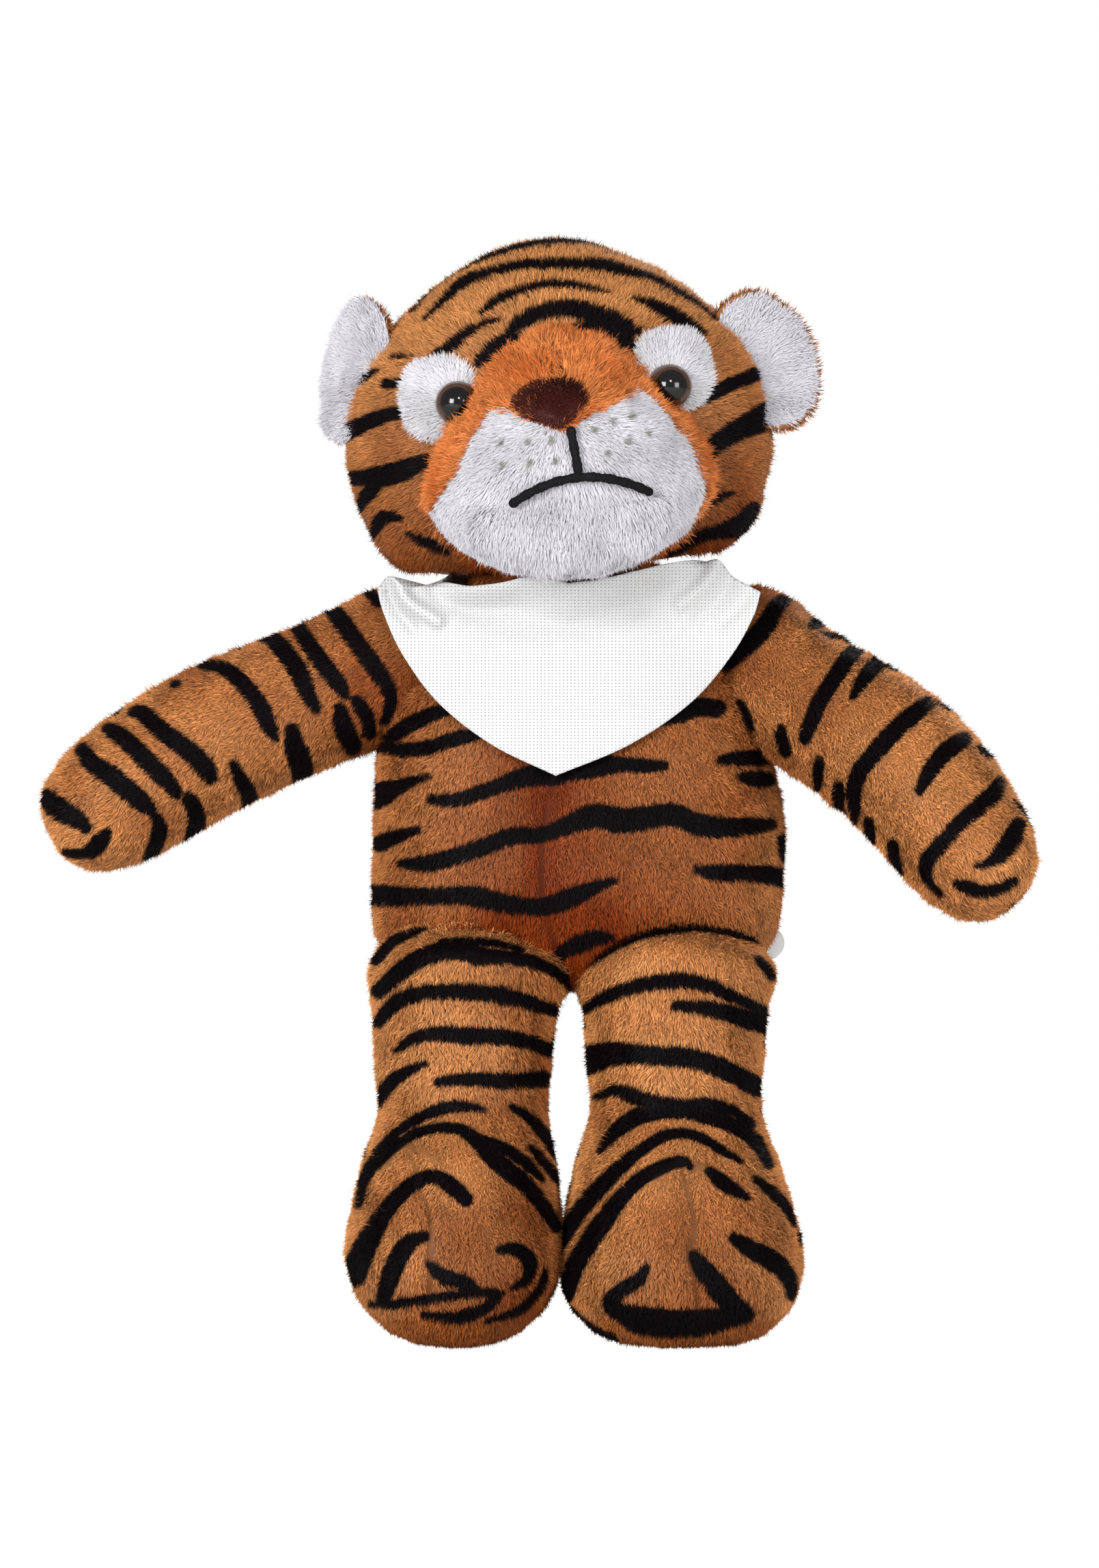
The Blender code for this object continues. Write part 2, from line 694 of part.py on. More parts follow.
def muzzle(pivot):
    """Stuffed snout: orange top, white front panel, chin, nose and mouth threads."""
    against_head = head_form("muzzle_seat", pivot, SEAM_GAP)
    outline = (PANEL_SHARES, WHITE_PANEL_WIDTH, WHITE_PANEL_HEIGHT, 0, WHITE_PANEL_BOTTOM)
    far = MUZZLE_Y - MUZZLE_REACH - OVERRUN
    panel = add_cutter("panel_outline", prism_mesh("panel", panel_outline(*outline), far, 0),
                       pivot)
    wide = add_cutter("panel_gap", prism_mesh("gap", panel_outline(*outline, SEAM_GAP), far, 0),
                      pivot)
    top = shell(add_part("muzzle_top", loft("muzzle_top", muzzle_rings()), BRIGHT_ORANGE, pivot))
    boolean(boolean(top, wide), against_head)
    front = shell(add_part("muzzle_front", loft("muzzle_front", muzzle_rings()), WHITE, pivot))
    boolean(boolean(front, panel, "INTERSECT"), against_head)
    filling = add_part("muzzle_filling", loft("muzzle_filling", muzzle_rings()), STUFFING, pivot)
    boolean(grow(filling, -FILLING_INSET), against_head)

    over_muzzle = muzzle_form("snout_gap", pivot, SEAM_GAP)
    chin = add_part("chin", ball_mesh("chin", (CHIN_HALF_WIDTH, CHIN_HALF_DEPTH,
                                               CHIN_HALF_HEIGHT), CHIN_SIDES), WHITE, pivot,
                    (CHIN_X, CHIN_Y, CHIN_HEIGHT))
    boolean(chin, over_muzzle)
    nose = add_part("nose", loft("nose", muzzle_rings()), MAROON, pivot)
    grow(nose, NOSE_THICKNESS)
    shape = panel_outline(NOSE_SHARES, NOSE_WIDTH, NOSE_HEIGHT, NOSE_X, NOSE_BOTTOM)
    boolean(nose, add_cutter("nose_outline", prism_mesh("nose", shape, far, MUZZLE_Y), pivot),
            "INTERSECT")
    boolean(nose, over_muzzle)
    mouth_threads(pivot)


def mouth_threads(pivot):
    lift = THREAD_RADIUS + 2 * SEAM_GAP
    arc = []
    for share in np.linspace(-1, 1, ARC_STEPS):
        x = MOUTH_X + MOUTH_WIDTH / 2 * float(share)
        z = MOUTH_HEIGHT - MOUTH_DROP * float(share) ** 2
        arc.append((x, muzzle_front(x, z) - lift, z))
    thread("mouth_arc", arc, pivot)
    top = NOSE_BOTTOM - THREAD_RADIUS - SEAM_GAP
    line = []
    for share in np.linspace(0, 1, LINE_STEPS):
        x = MOUTH_X - (1 - float(share)) * THREAD_RADIUS
        z = top - float(share) * (LIP_LINE_LENGTH - 2 * THREAD_RADIUS - SEAM_GAP)
        line.append((x, muzzle_front(x, z) - lift, z))
    thread("mouth_line", line, pivot)


def thread(name, points, pivot):
    """Round thread through points: a curve made a mesh, with welded caps."""
    curve = bpy.data.curves.new(name, "CURVE")
    curve.dimensions = "3D"
    curve.bevel_depth = THREAD_RADIUS
    curve.bevel_resolution = 1
    curve.use_fill_caps = True
    spline = curve.splines.new("POLY")
    spline.points.add(len(points) - 1)
    for point, place in zip(spline.points, points):
        point.co = (*place, 1)
    guide = bpy.data.objects.new(name + "_guide", curve)
    CUTTERS.objects.link(guide)
    bpy.context.view_layer.update()
    mesh = bpy.data.meshes.new_from_object(guide.evaluated_get(
        bpy.context.evaluated_depsgraph_get()))
    bpy.data.objects.remove(guide)
    welded = bmesh.new()
    welded.from_mesh(mesh)
    bmesh.ops.remove_doubles(welded, verts=welded.verts, dist=THREAD_RADIUS / 100)
    bmesh.ops.recalc_face_normals(welded, faces=welded.faces)
    welded.to_mesh(mesh)
    welded.free()
    mesh.materials.clear()
    mesh.shade_smooth()
    add_part(name, mesh, BLACK, pivot)


def eyes(pivot, cover, filling):
    """Safety eyes: a dome on a shank, through the patch and cover into a lock washer."""
    over_muzzle = muzzle_form("patch_gap", pivot, SEAM_GAP)
    over_head = head_form("patch_seat", pivot, SEAM_GAP)
    for side in SIDES:
        sign = 1 if side == "left" else -1
        x = EYE_MIDDLE_X + sign * EYE_HALF_SPACING
        place, facing = head_place(x, EYE_HEIGHT)
        turn = aim(facing)
        patch = add_part(side + "_eye_patch", loft("patch", head_rings()), WHITE, pivot)
        grow(patch, PATCH_THICKNESS + SEAM_GAP)
        window = oval(PATCH_HALF_WIDTH, PATCH_HALF_HEIGHT, PATCH_POWER, PATCH_SIDES)
        middle = (x + sign * PATCH_OUTWARD, EYE_HEIGHT + PATCH_UPWARD)
        outline = [(middle[0] + point[0], middle[1] + point[1]) for point in window]
        boolean(patch, add_cutter(side + "_patch_outline",
                                  prism_mesh("patch", outline, -HEAD_HALF_DEPTH - OVERRUN,
                                             -HEAD_HALF_DEPTH * PATCH_BACK_SHARE), pivot),
                "INTERSECT")
        boolean(patch, over_head)
        boolean(patch, over_muzzle)

        hole = EYE_SHANK_DIAMETER / 2 + SEAM_GAP
        base = place + facing * (PATCH_THICKNESS + 3 * SEAM_GAP)
        passage = add_cutter(side + "_shank_hole", rod_mesh("hole", hole, OVERRUN), pivot,
                             place - facing * OVERRUN / 2)
        passage.rotation_euler = turn
        boolean(patch, passage)
        boolean(cover, passage)
        dome_clear = add_cutter(side + "_dome_gap",
                                rod_mesh("dome", EYE_DIAMETER / 2 + SEAM_GAP, OVERRUN), pivot,
                                base - facing * SEAM_GAP)
        dome_clear.rotation_euler = turn
        for name in ("muzzle_top", "muzzle_front"):
            boolean(PARTS.objects[name], dome_clear)

        eye = add_part(side + "_eye", eye_mesh(), GLOSSY, pivot, base)
        eye.rotation_euler = turn
        seat = COVER_THICKNESS + WASHER_DIAMETER ** 2 / 4 / HEAD_HALF_DEPTH + 2 * SEAM_GAP
        washer = add_part(side + "_eye_washer", washer_mesh(), WHITE_PLASTIC, pivot,
                          place - facing * (seat + WASHER_THICKNESS))
        washer.rotation_euler = turn
        pocket = add_cutter(side + "_washer_pocket",
                            rod_mesh("pocket", WASHER_DIAMETER / 2 + 2 * SEAM_GAP, OVERRUN),
                            pivot, place - facing * (EYE_SHANK_LENGTH + SEAM_GAP))
        pocket.rotation_euler = turn
        boolean(filling, pocket)


def eye_mesh():
    """Half-round dome with its shank behind, turned about +Z, the dome's back at the origin."""
    profile = [(0, -EYE_SHANK_LENGTH), (EYE_SHANK_DIAMETER / 2, -EYE_SHANK_LENGTH),
               (EYE_SHANK_DIAMETER / 2, 0)]
    for angle in np.linspace(0, math.pi / 2, EYE_STEPS):
        profile.append((EYE_DIAMETER / 2 * math.cos(angle), EYE_DOME_HEIGHT * math.sin(angle)))
    return turned("eye", profile)


def washer_mesh():
    inner = EYE_SHANK_DIAMETER / 2 + SEAM_GAP
    outer = WASHER_DIAMETER / 2
    return turned("washer", [(inner, 0), (outer, 0), (outer, WASHER_THICKNESS),
                             (inner, WASHER_THICKNESS), (inner, 0)])


def turned(name, profile, sides=EYE_SIDES):
    """Profile of radius and height spun about +Z, with points on the axis merged."""
    mesh = bmesh.new()
    points = [mesh.verts.new((radius, 0, height)) for radius, height in profile]
    edges = [mesh.edges.new(pair) for pair in zip(points, points[1:])]
    bmesh.ops.spin(mesh, geom=points + edges, angle=2 * math.pi, steps=sides,
                   axis=(0, 0, 1), cent=(0, 0, 0), use_merge=True)
    bmesh.ops.remove_doubles(mesh, verts=mesh.verts, dist=SEAM_GAP / 10)
    bmesh.ops.recalc_face_normals(mesh, faces=mesh.faces)
    made = bpy.data.meshes.new(name)
    mesh.to_mesh(made)
    mesh.free()
    made.shade_smooth()
    return made


def ear_half_mesh(name, front):
    """Half of a padded ear: a pillow on the seam plane, cupped forward. X out, Z along."""
    mesh = bmesh.new()
    middle_out = (EAR_REACH - EAR_ROOT_DEPTH) / 2
    half_out = (EAR_REACH + EAR_ROOT_DEPTH) / 2
    sign = -1 if front else 1

    def place(share, angle, face):
        out = middle_out + half_out * share * math.cos(angle)
        along = EAR_HALF_LENGTH * share * math.sin(angle)
        cup = -EAR_CUP * ((out / EAR_REACH) ** 2 + (along / EAR_HALF_LENGTH) ** 2) / 2
        puff = (EAR_THICKNESS / 2 - SEAM_GAP) * (1 - share ** EAR_PUFF_POWER) if face else 0
        return (out, cup + sign * (SEAM_GAP / 2 + puff), along)

    def sheet(face):
        loops = [[mesh.verts.new(place(ring / EAR_RINGS, 2 * math.pi * k / EAR_SIDES, face))
                  for k in range(EAR_SIDES)] for ring in range(1, EAR_RINGS)]
        middle = mesh.verts.new(place(0, 0, face))
        for inner, outer in zip([None] + loops, loops + [rim]):
            for k in range(EAR_SIDES):
                following = (k + 1) % EAR_SIDES
                if inner is None:
                    mesh.faces.new((middle, outer[k], outer[following]))
                else:
                    mesh.faces.new((inner[k], outer[k], outer[following], inner[following]))

    rim = [mesh.verts.new(place(1, 2 * math.pi * k / EAR_SIDES, False))
           for k in range(EAR_SIDES)]
    sheet(True)
    sheet(False)
    bmesh.ops.recalc_face_normals(mesh, faces=mesh.faces)
    made = bpy.data.meshes.new(name)
    mesh.to_mesh(made)
    mesh.free()
    made.shade_smooth()
    return made


def ear_frame(side):
    """The ear's hinge: its middle and a turn with Z along the seam and X pointing out."""
    sign = 1 if side == "left" else -1
    raised = Vector((0, 0, EAR_RAISE[side]))
    top = Vector(EAR_CHORD_TOP) * Vector((sign, 1, 1)) + raised
    base = Vector(EAR_CHORD_BASE) * Vector((sign, 1, 1)) + raised
    along = (top - base).normalized()
    out = Vector((sign * math.cos(EAR_YAW[side]), math.sin(EAR_YAW[side]), 0))
    out = (out - along * out.dot(along)).normalized()
    back = along.cross(out) * sign
    return (top + base) / 2, Matrix((out, back, along)).transposed()


def ears(head_pivot):
    for side in SIDES:
        middle, turn = ear_frame(side)
        pivot = empty(side + "_ear_hinge", middle, head_pivot)
        halves = []
        for name, front, look in (("_ear_front", True, WHITE), ("_ear_back", False, ORANGE)):
            mesh = ear_half_mesh(side + name, front)
            mesh.transform(turn.to_4x4())
            if side == "right":
                mesh.flip_normals()
            halves.append(add_part(side + name, mesh, look, pivot))
        axis = turn.col[2] * (-1 if side == "left" else 1)
        for angle in (0, *EAR_FOLD):
            seat = head_form(side + "_ear_seat", pivot, SEAM_GAP)
            spin = Matrix.Rotation(-angle, 4, axis)
            seat.matrix_local = spin @ Matrix.Translation(-middle)
            for half in halves:
                boolean(half, seat)


def arms():
    for side in SIDES:
        sign = 1 if side == "left" else -1
        pivot = empty(side + "_shoulder", (SHOULDER_X[side], SHOULDER_Y, SHOULDER_HEIGHT), TOY)
        covered(side + "_arm", arm_rings(side), (ORANGE, STUFFING), pivot,
                rotation=(0, sign * ARM_DROP[side], -sign * ARM_FORWARD[side]))


def legs():
    for side in SIDES:
        hip = Vector((HIP_X[side], HIP_Y, HIP_HEIGHT))
        pivot = empty(side + "_hip", hip, TOY)
        cover, filling = covered(side + "_leg", leg_rings(side), (ORANGE, STUFFING), pivot)
        sole = shell(add_part(side + "_sole", loft("sole", leg_rings(side)), DEEP_ORANGE, pivot))
        reach = FOOT_HALF_LENGTH + FOOT_HALF_WIDTH[side] + OVERRUN
        ground = add_cutter(side + "_ground", box_mesh("ground", (-reach, -reach, -OVERRUN),
                                                       (reach, reach, 0)), pivot,
                            (0, 0, -HIP_HEIGHT))
        above = add_cutter(side + "_above_seam",
                           box_mesh("above", (-reach, -reach, SOLE_SEAM_HEIGHT - SEAM_GAP),
                                    (reach, reach, HIP_HEIGHT * 2)), pivot, (0, 0, -HIP_HEIGHT))
        below = add_cutter(side + "_below_seam",
                           box_mesh("below", (-reach, -reach, -OVERRUN),
                                    (reach, reach, SOLE_SEAM_HEIGHT)), pivot,
                           (0, 0, -HIP_HEIGHT))
        boolean(cover, below)
        boolean(boolean(sole, above), ground)


def tail():
    pivot = empty("tail_root", TAIL_ROOT, TOY)
    covered("tail", tail_rings(), (ORANGE, STUFFING), pivot)


def drape(x, height):
    """Y of the cloth's inner face: over the chest, and past it over the shoulders' fronts."""
    power = SCARF_DRAPE_POWER
    reach = (body_front(x, height) ** power + SCARF_SHOULDER_DEPTH ** power) ** (1 / power)
    return -reach - 2 * SEAM_GAP


def fold(x, height):
    """Raised pleats that run from each upper corner down towards the middle."""
    lift = 0
    for slope, start in FOLD_SHARES:
        line = SCARF_CORNER_HEIGHT - slope * (SCARF_HALF_WIDTH * start - abs(x))
        lift += SCARF_FOLD_HEIGHT * math.exp(-((height - line) / SCARF_FOLD_WIDTH) ** 2)
    return lift * min(abs(x) / SCARF_HALF_WIDTH / FOLD_FADE_SHARE, 1)


def smooth(table, count):
    """Rows read at even steps from a smooth curve through a table's rows."""
    rows = np.array([table[0], *table, table[-1]])
    rows[0] = 2 * rows[1] - rows[2]
    rows[-1] = 2 * rows[-2] - rows[-3]
    made = []
    for place in np.linspace(0, len(table) - 1, count):
        index = min(int(place), len(table) - 2)
        t = place - index
        before, start, stop, after = rows[index:index + 4]
        made.append(start + 0.5 * t * (stop - before + t * (
            2 * before - 5 * start + 4 * stop - after
            + t * (3 * (start - stop) + after - before))))
    return made


def scarf_column(sign, angle_share, across, climb):
    """One column of the cloth from its top edge, round the neck, down to its lower edge."""
    angle = math.pi * float(angle_share)
    top = Vector((sign * SCARF_NECK_RADIUS * math.sin(angle),
                  NECK_Y - SCARF_NECK_RADIUS * math.cos(angle), SCARF_TOP_HEIGHT))
    middle = SCARF_TIP_X * (1 - across)
    low_x = middle + sign * SCARF_HALF_WIDTH * across
    low_z = SCARF_TIP_HEIGHT + (SCARF_CORNER_HEIGHT - SCARF_TIP_HEIGHT) * climb
    column = []
    for row in range(SCARF_ROWS):
        share = row / (SCARF_ROWS - 1)
        x = top.x + (low_x - top.x) * share
        z = top.z + (low_z - top.z) * share
        out = min(share / SCARF_SETTLE_SHARE, 1)
        y = top.y * (1 - out) + (drape(x, z) - fold(x, z)) * out
        column.append(Vector((x, y, z)))
    return column


def neckerchief(pivot):
    """Knitted cloth: a rounded triangle on the chest, drawn into a band round the neck."""
    columns = []
    for sign in (-1, 1):
        half = [scarf_column(sign, *row) for row in smooth(SCARF_SHARES, SCARF_FRONT_COLUMNS)]
        corner_column = half[-1]
        last = SCARF_SHARES[-1][0]
        stop = 1 - (KNOT_HALF_WIDTH + CLOTH_THICKNESS) / SCARF_NECK_RADIUS / math.pi
        for step in range(1, SCARF_BAND_COLUMNS + 1):
            angle = math.pi * (last + (stop - last) * step / SCARF_BAND_COLUMNS)
            column = []
            for row in range(SCARF_ROWS):
                share = row / (SCARF_ROWS - 1)
                radius = SCARF_NECK_RADIUS + share * CLOTH_THICKNESS
                corner = corner_column[row]
                place = Vector((sign * radius * math.sin(angle),
                                NECK_Y - radius * math.cos(angle),
                                SCARF_TOP_HEIGHT - share * SCARF_BAND_HEIGHT))
                blend = max(1 - step / BAND_BLEND_COLUMNS, 0)
                column.append(place.lerp(corner, blend * share))
            half.append(column)
        columns.append(half)
    grid = columns[0][:0:-1] + columns[1]
    mesh = bmesh.new()
    stack = [[mesh.verts.new(point) for point in column] for column in grid]
    for left, right in zip(stack, stack[1:]):
        for a, b, c, d in zip(left, right, right[1:], left[1:]):
            mesh.faces.new((a, b, c, d))
    made = bpy.data.meshes.new("neckerchief")
    mesh.normal_update()
    mesh.to_mesh(made)
    mesh.free()
    made.shade_smooth()
    part = add_part("neckerchief", made, WHITE, pivot)
    cloth = part.modifiers.new("cloth", "SOLIDIFY")
    cloth.thickness = CLOTH_THICKNESS
    cloth.offset = -1
    cloth.use_even_offset = False
    return part


def knot(pivot):
    """The cloth's ends tied behind the neck, with two short ends hanging."""
    height = SCARF_TOP_HEIGHT - SCARF_BAND_HEIGHT / 2 - CLOTH_THICKNESS
    y = NECK_Y + SCARF_NECK_RADIUS + KNOT_HALF_DEPTH
    part = add_part("neckerchief_knot",
                    ball_mesh("knot", (KNOT_HALF_WIDTH, KNOT_HALF_DEPTH, KNOT_HALF_HEIGHT),
                              KNOT_SIDES),
                    WHITE, pivot, (0, y, height))
    for sign in (-1, 1):
        end = add_cutter("knot_end", box_mesh("end", (-KNOT_TAIL_WIDTH / 2, -CLOTH_THICKNESS / 2,
                                                      -KNOT_TAIL_LENGTH),
                                              (KNOT_TAIL_WIDTH / 2, CLOTH_THICKNESS / 2, 0)),
                         pivot, (0, y + sign * CLOTH_THICKNESS / 2, height))
        end.rotation_euler = (0, -sign * KNOT_TAIL_SPREAD, 0)
        boolean(part, end, "UNION")


def care_label(pivot):
    """Blank folded label that stands out of the side seam at the hip."""
    level = (LABEL_CENTRE_HEIGHT - BODY_BASE_HEIGHT) / BODY_HEIGHT
    width, depth, sway, power = at(level, BODY_SHARES)
    seam_x = BODY_HALF_WIDTH * (width * math.cos(LABEL_SEAM_ANGLE) ** (2 / power) + sway)
    seam_y = BODY_HALF_DEPTH * depth * math.sin(LABEL_SEAM_ANGLE) ** (2 / power)
    part = add_part("care_label",
                    box_mesh("label", (-LABEL_REACH, -LABEL_THICKNESS / 2, -LABEL_HEIGHT / 2),
                             (LABEL_REACH, LABEL_THICKNESS / 2, LABEL_HEIGHT / 2)), WHITE,
                    pivot, (seam_x, seam_y, LABEL_CENTRE_HEIGHT))
    part.rotation_euler = (0, 0, LABEL_SEAM_ANGLE)
    bevel(part, LABEL_THICKNESS / 4)
    boolean(part, grow(add_cutter("label_seat", loft("label_seat", body_rings()), pivot),
                       SEAM_GAP))


def stand_on_origin():
    """Move the toy so that the middle of its base is the origin."""
    bpy.context.view_layer.update()
    graph = bpy.context.evaluated_depsgraph_get()
    corners = []
    for part in PARTS.objects:
        if part.type == "MESH":
            seen = part.evaluated_get(graph)
            corners += [seen.matrix_world @ vertex.co for vertex in seen.data.vertices]
    for axis in (0, 1):
        values = [corner[axis] for corner in corners]
        TOY.location[axis] = -(min(values) + max(values)) / 2
    bpy.context.view_layer.update()
    print("toy shift", tuple(round(value, 6) for value in TOY.location))


for old in list(bpy.data.objects):
    bpy.data.objects.remove(old)

ORANGE = ((0.55, 0.22, 0.06), 0.9)
BRIGHT_ORANGE = ((0.62, 0.20, 0.05), 0.9)
DEEP_ORANGE = ((0.50, 0.15, 0.04), 0.9)
WHITE = ((0.85, 0.84, 0.84), 0.9)
MAROON = ((0.10, 0.015, 0.010), 0.85)
BLACK = ((0.012, 0.011, 0.012), 0.8)
GLOSSY = ((0.06, 0.025, 0.012), 0.08)
WHITE_PLASTIC = ((0.80, 0.80, 0.78), 0.4)
STUFFING = ((0.82, 0.82, 0.80), 0.95)
SIDES = ("left", "right")
PARTS = new_collection("plush_tiger")
CUTTERS = new_collection("cutters")
TOY = empty("toy", (0, 0, 0))

HEAD_PIVOT = empty("neck_joint", (0, NECK_Y, NECK_TOP_HEIGHT), TOY)
HEAD_FRAME = empty("head_frame", (HEAD_SIDE_SHIFT, HEAD_Y - NECK_Y,
                                  HEAD_CENTRE_HEIGHT - NECK_TOP_HEIGHT), HEAD_PIVOT)
HEAD_FRAME.rotation_euler = (0, HEAD_ROLL, 0)

torso(TOY)
HEAD_COVER, HEAD_FILLING = head(HEAD_FRAME)
muzzle(HEAD_FRAME)
eyes(HEAD_FRAME, HEAD_COVER, HEAD_FILLING)
ears(HEAD_FRAME)
arms()
legs()
tail()
neckerchief(TOY)
knot(TOY)
care_label(TOY)
stand_on_origin()
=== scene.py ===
# %% [markdown]
# # A plush tiger with a knitted neckerchief
# The real toy is a set of sewn covers, stuffed with loose fibre and cut from printed plush.
# Each cover is made here as a smooth surface, worked out with numpy as a function of two
# parameters. A second mesh on it carries the pile, as thousands of small bent strands, because
# plush is seen by its pile and not by its backing.

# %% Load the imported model
import json

import bmesh
import bpy
import numpy as np
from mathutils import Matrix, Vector


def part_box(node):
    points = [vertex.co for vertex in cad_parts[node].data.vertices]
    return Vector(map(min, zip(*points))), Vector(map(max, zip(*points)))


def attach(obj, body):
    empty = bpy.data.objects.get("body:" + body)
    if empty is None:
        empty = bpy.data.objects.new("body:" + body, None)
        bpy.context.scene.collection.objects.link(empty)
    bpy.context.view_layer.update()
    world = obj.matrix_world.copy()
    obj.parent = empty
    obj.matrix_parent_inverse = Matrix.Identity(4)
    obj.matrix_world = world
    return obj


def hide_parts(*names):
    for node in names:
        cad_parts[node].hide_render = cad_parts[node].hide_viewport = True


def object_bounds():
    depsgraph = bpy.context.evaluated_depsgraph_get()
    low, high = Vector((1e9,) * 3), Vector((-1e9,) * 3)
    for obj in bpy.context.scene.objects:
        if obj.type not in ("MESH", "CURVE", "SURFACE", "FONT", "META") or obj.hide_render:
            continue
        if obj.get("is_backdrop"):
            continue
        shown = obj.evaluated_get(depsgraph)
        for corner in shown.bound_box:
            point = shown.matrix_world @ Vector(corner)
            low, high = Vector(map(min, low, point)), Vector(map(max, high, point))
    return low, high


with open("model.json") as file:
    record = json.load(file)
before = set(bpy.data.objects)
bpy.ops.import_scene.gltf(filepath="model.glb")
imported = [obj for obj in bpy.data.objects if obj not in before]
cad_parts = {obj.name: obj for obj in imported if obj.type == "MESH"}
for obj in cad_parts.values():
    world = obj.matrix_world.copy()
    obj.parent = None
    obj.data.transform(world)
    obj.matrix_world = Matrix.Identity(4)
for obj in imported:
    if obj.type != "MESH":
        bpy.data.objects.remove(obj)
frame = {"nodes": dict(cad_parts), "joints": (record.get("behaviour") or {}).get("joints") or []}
cad_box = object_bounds()
bpy.context.scene.view_settings.view_transform = "Standard"
MM = 0.001
PI = np.pi

# Lengths are millimetres in the toy's own frame, where the neck is at x = 0 and y = NECK_Y.
NECK_Y = 1
neck_joint = next(j for j in frame["joints"] if j["name"] == "neck_turn")
TOY = np.array(neck_joint["pos_m"]) / MM * (1, 1, 0) - (0, NECK_Y, 0)
print("the toy's own frame starts at", TOY.round(2), "mm")

# %% [markdown]
# ## Camera
# The picture was taken from the front with a long lens. Its frame is 319 mm high at the toy, so
# the lens follows from the distance and the height that it must show.

# %% Camera
PICTURE_HEIGHT = 318.9
PICTURE_MIDDLE = TOY + (-3.96, 0, 113.9)
CAMERA_DISTANCE = 3000
CAMERA_RISE = np.radians(0.5)
SENSOR_HEIGHT = 24
camera_place = PICTURE_MIDDLE + CAMERA_DISTANCE * np.array([0, -np.cos(CAMERA_RISE),
                                                            np.sin(CAMERA_RISE)])
camera_data = bpy.data.cameras.new("camera")
camera_data.sensor_fit = "VERTICAL"
camera_data.sensor_height = SENSOR_HEIGHT
camera_data.lens = SENSOR_HEIGHT * CAMERA_DISTANCE / PICTURE_HEIGHT
camera = bpy.data.objects.new("camera", camera_data)
camera.location = camera_place * MM
look = Vector(PICTURE_MIDDLE - camera_place)
camera.rotation_euler = look.to_track_quat("-Z", "Y").to_euler()
bpy.context.collection.objects.link(camera)
bpy.context.scene.camera = camera
print("lens", round(camera_data.lens, 1), "mm at", CAMERA_DISTANCE, "mm")

# %% [markdown]
# ## Floor and light
# Plain soft light: one broad lamp from the upper left, a weaker one from the right, a small one
# that glints in the eyes, one from behind, and a pale sky. The floor is made brighter for the
# camera alone, by Light Path, so that it reads as white paper and still takes the toy's shadow.

# %% Floor, sky and lamps
SKY_STRENGTH, PAPER_TONE, PAPER_GLOW, GLOW_SHARE, FLOOR_HALF = 0.30, 0.86, 1.35, 0.73, 4
CHEST = Vector((0, 0, 0.12))
# Each lamp's name, its place in metres, its power in watts and its width in metres.
LAMPS = [
    ("key", (-0.85, -1.35, 0.48), 19.0, 0.6), ("fill", (0.95, -1.2, 0.35), 9.0, 0.6),
    ("glint", (0.10, -0.85, 0.62), 1.4, 0.12), ("rear", (0.35, 1.2, 0.9), 6.0, 0.7),
]


def fed(tree, socket, value):
    """Joins a socket to another node's output, or gives it a plain value."""
    if isinstance(value, bpy.types.NodeSocket):
        tree.links.new(value, socket)
    else:
        socket.default_value = value


def node(tree, kind, **values):
    """A new shader node, with its sockets fed by name and its settings set by attribute."""
    made = tree.nodes.new(kind)
    for key, value in values.items():
        name = key.replace("_", " ")
        if name in made.inputs:
            fed(tree, made.inputs[name], value)
        else:
            setattr(made, key, value)
    return made


def worked_out(tree, how, *values):
    """A product, a sum or a sine of other nodes' outputs and plain numbers."""
    made = node(tree, "ShaderNodeMath", operation=how)
    for socket, value in zip(made.inputs, values):
        fed(tree, socket, value)
    return made.outputs[0]


def blank_tree(owner):
    """The node tree of a world or a material, emptied."""
    owner.use_nodes = True
    owner.node_tree.nodes.clear()
    return owner.node_tree


def seen_directly(tree):
    """One for rays from the camera, and zero for light and reflections."""
    return node(tree, "ShaderNodeLightPath").outputs["Is Camera Ray"]


def shown_apart(tree, share, lit, shown, output):
    """One shader for light and, by a share, another for what the camera sees."""
    choose = node(tree, "ShaderNodeMixShader")
    for socket, source in zip(choose.inputs, (share, lit.outputs[0], shown.outputs[0])):
        fed(tree, socket, source)
    tree.links.new(choose.outputs[0], node(tree, output).inputs[0])


world = bpy.data.worlds.new("sky")
bpy.context.scene.world = world
sky = blank_tree(world)
lit = node(sky, "ShaderNodeBackground", Color=(1, 1, 1, 1), Strength=SKY_STRENGTH)
shown = node(sky, "ShaderNodeBackground", Color=(1, 1, 1, 1), Strength=1.0)
shown_apart(sky, seen_directly(sky), lit, shown, "ShaderNodeOutputWorld")

floor_material = bpy.data.materials.new("white_paper")
paper = blank_tree(floor_material)
matt = node(paper, "ShaderNodeBsdfDiffuse", Color=(PAPER_TONE, PAPER_TONE, PAPER_TONE, 1))
bright = node(paper, "ShaderNodeEmission", Color=(1, 1, 1, 1), Strength=PAPER_GLOW)
share = worked_out(paper, "MULTIPLY", seen_directly(paper), GLOW_SHARE)
shown_apart(paper, share, matt, bright, "ShaderNodeOutputMaterial")

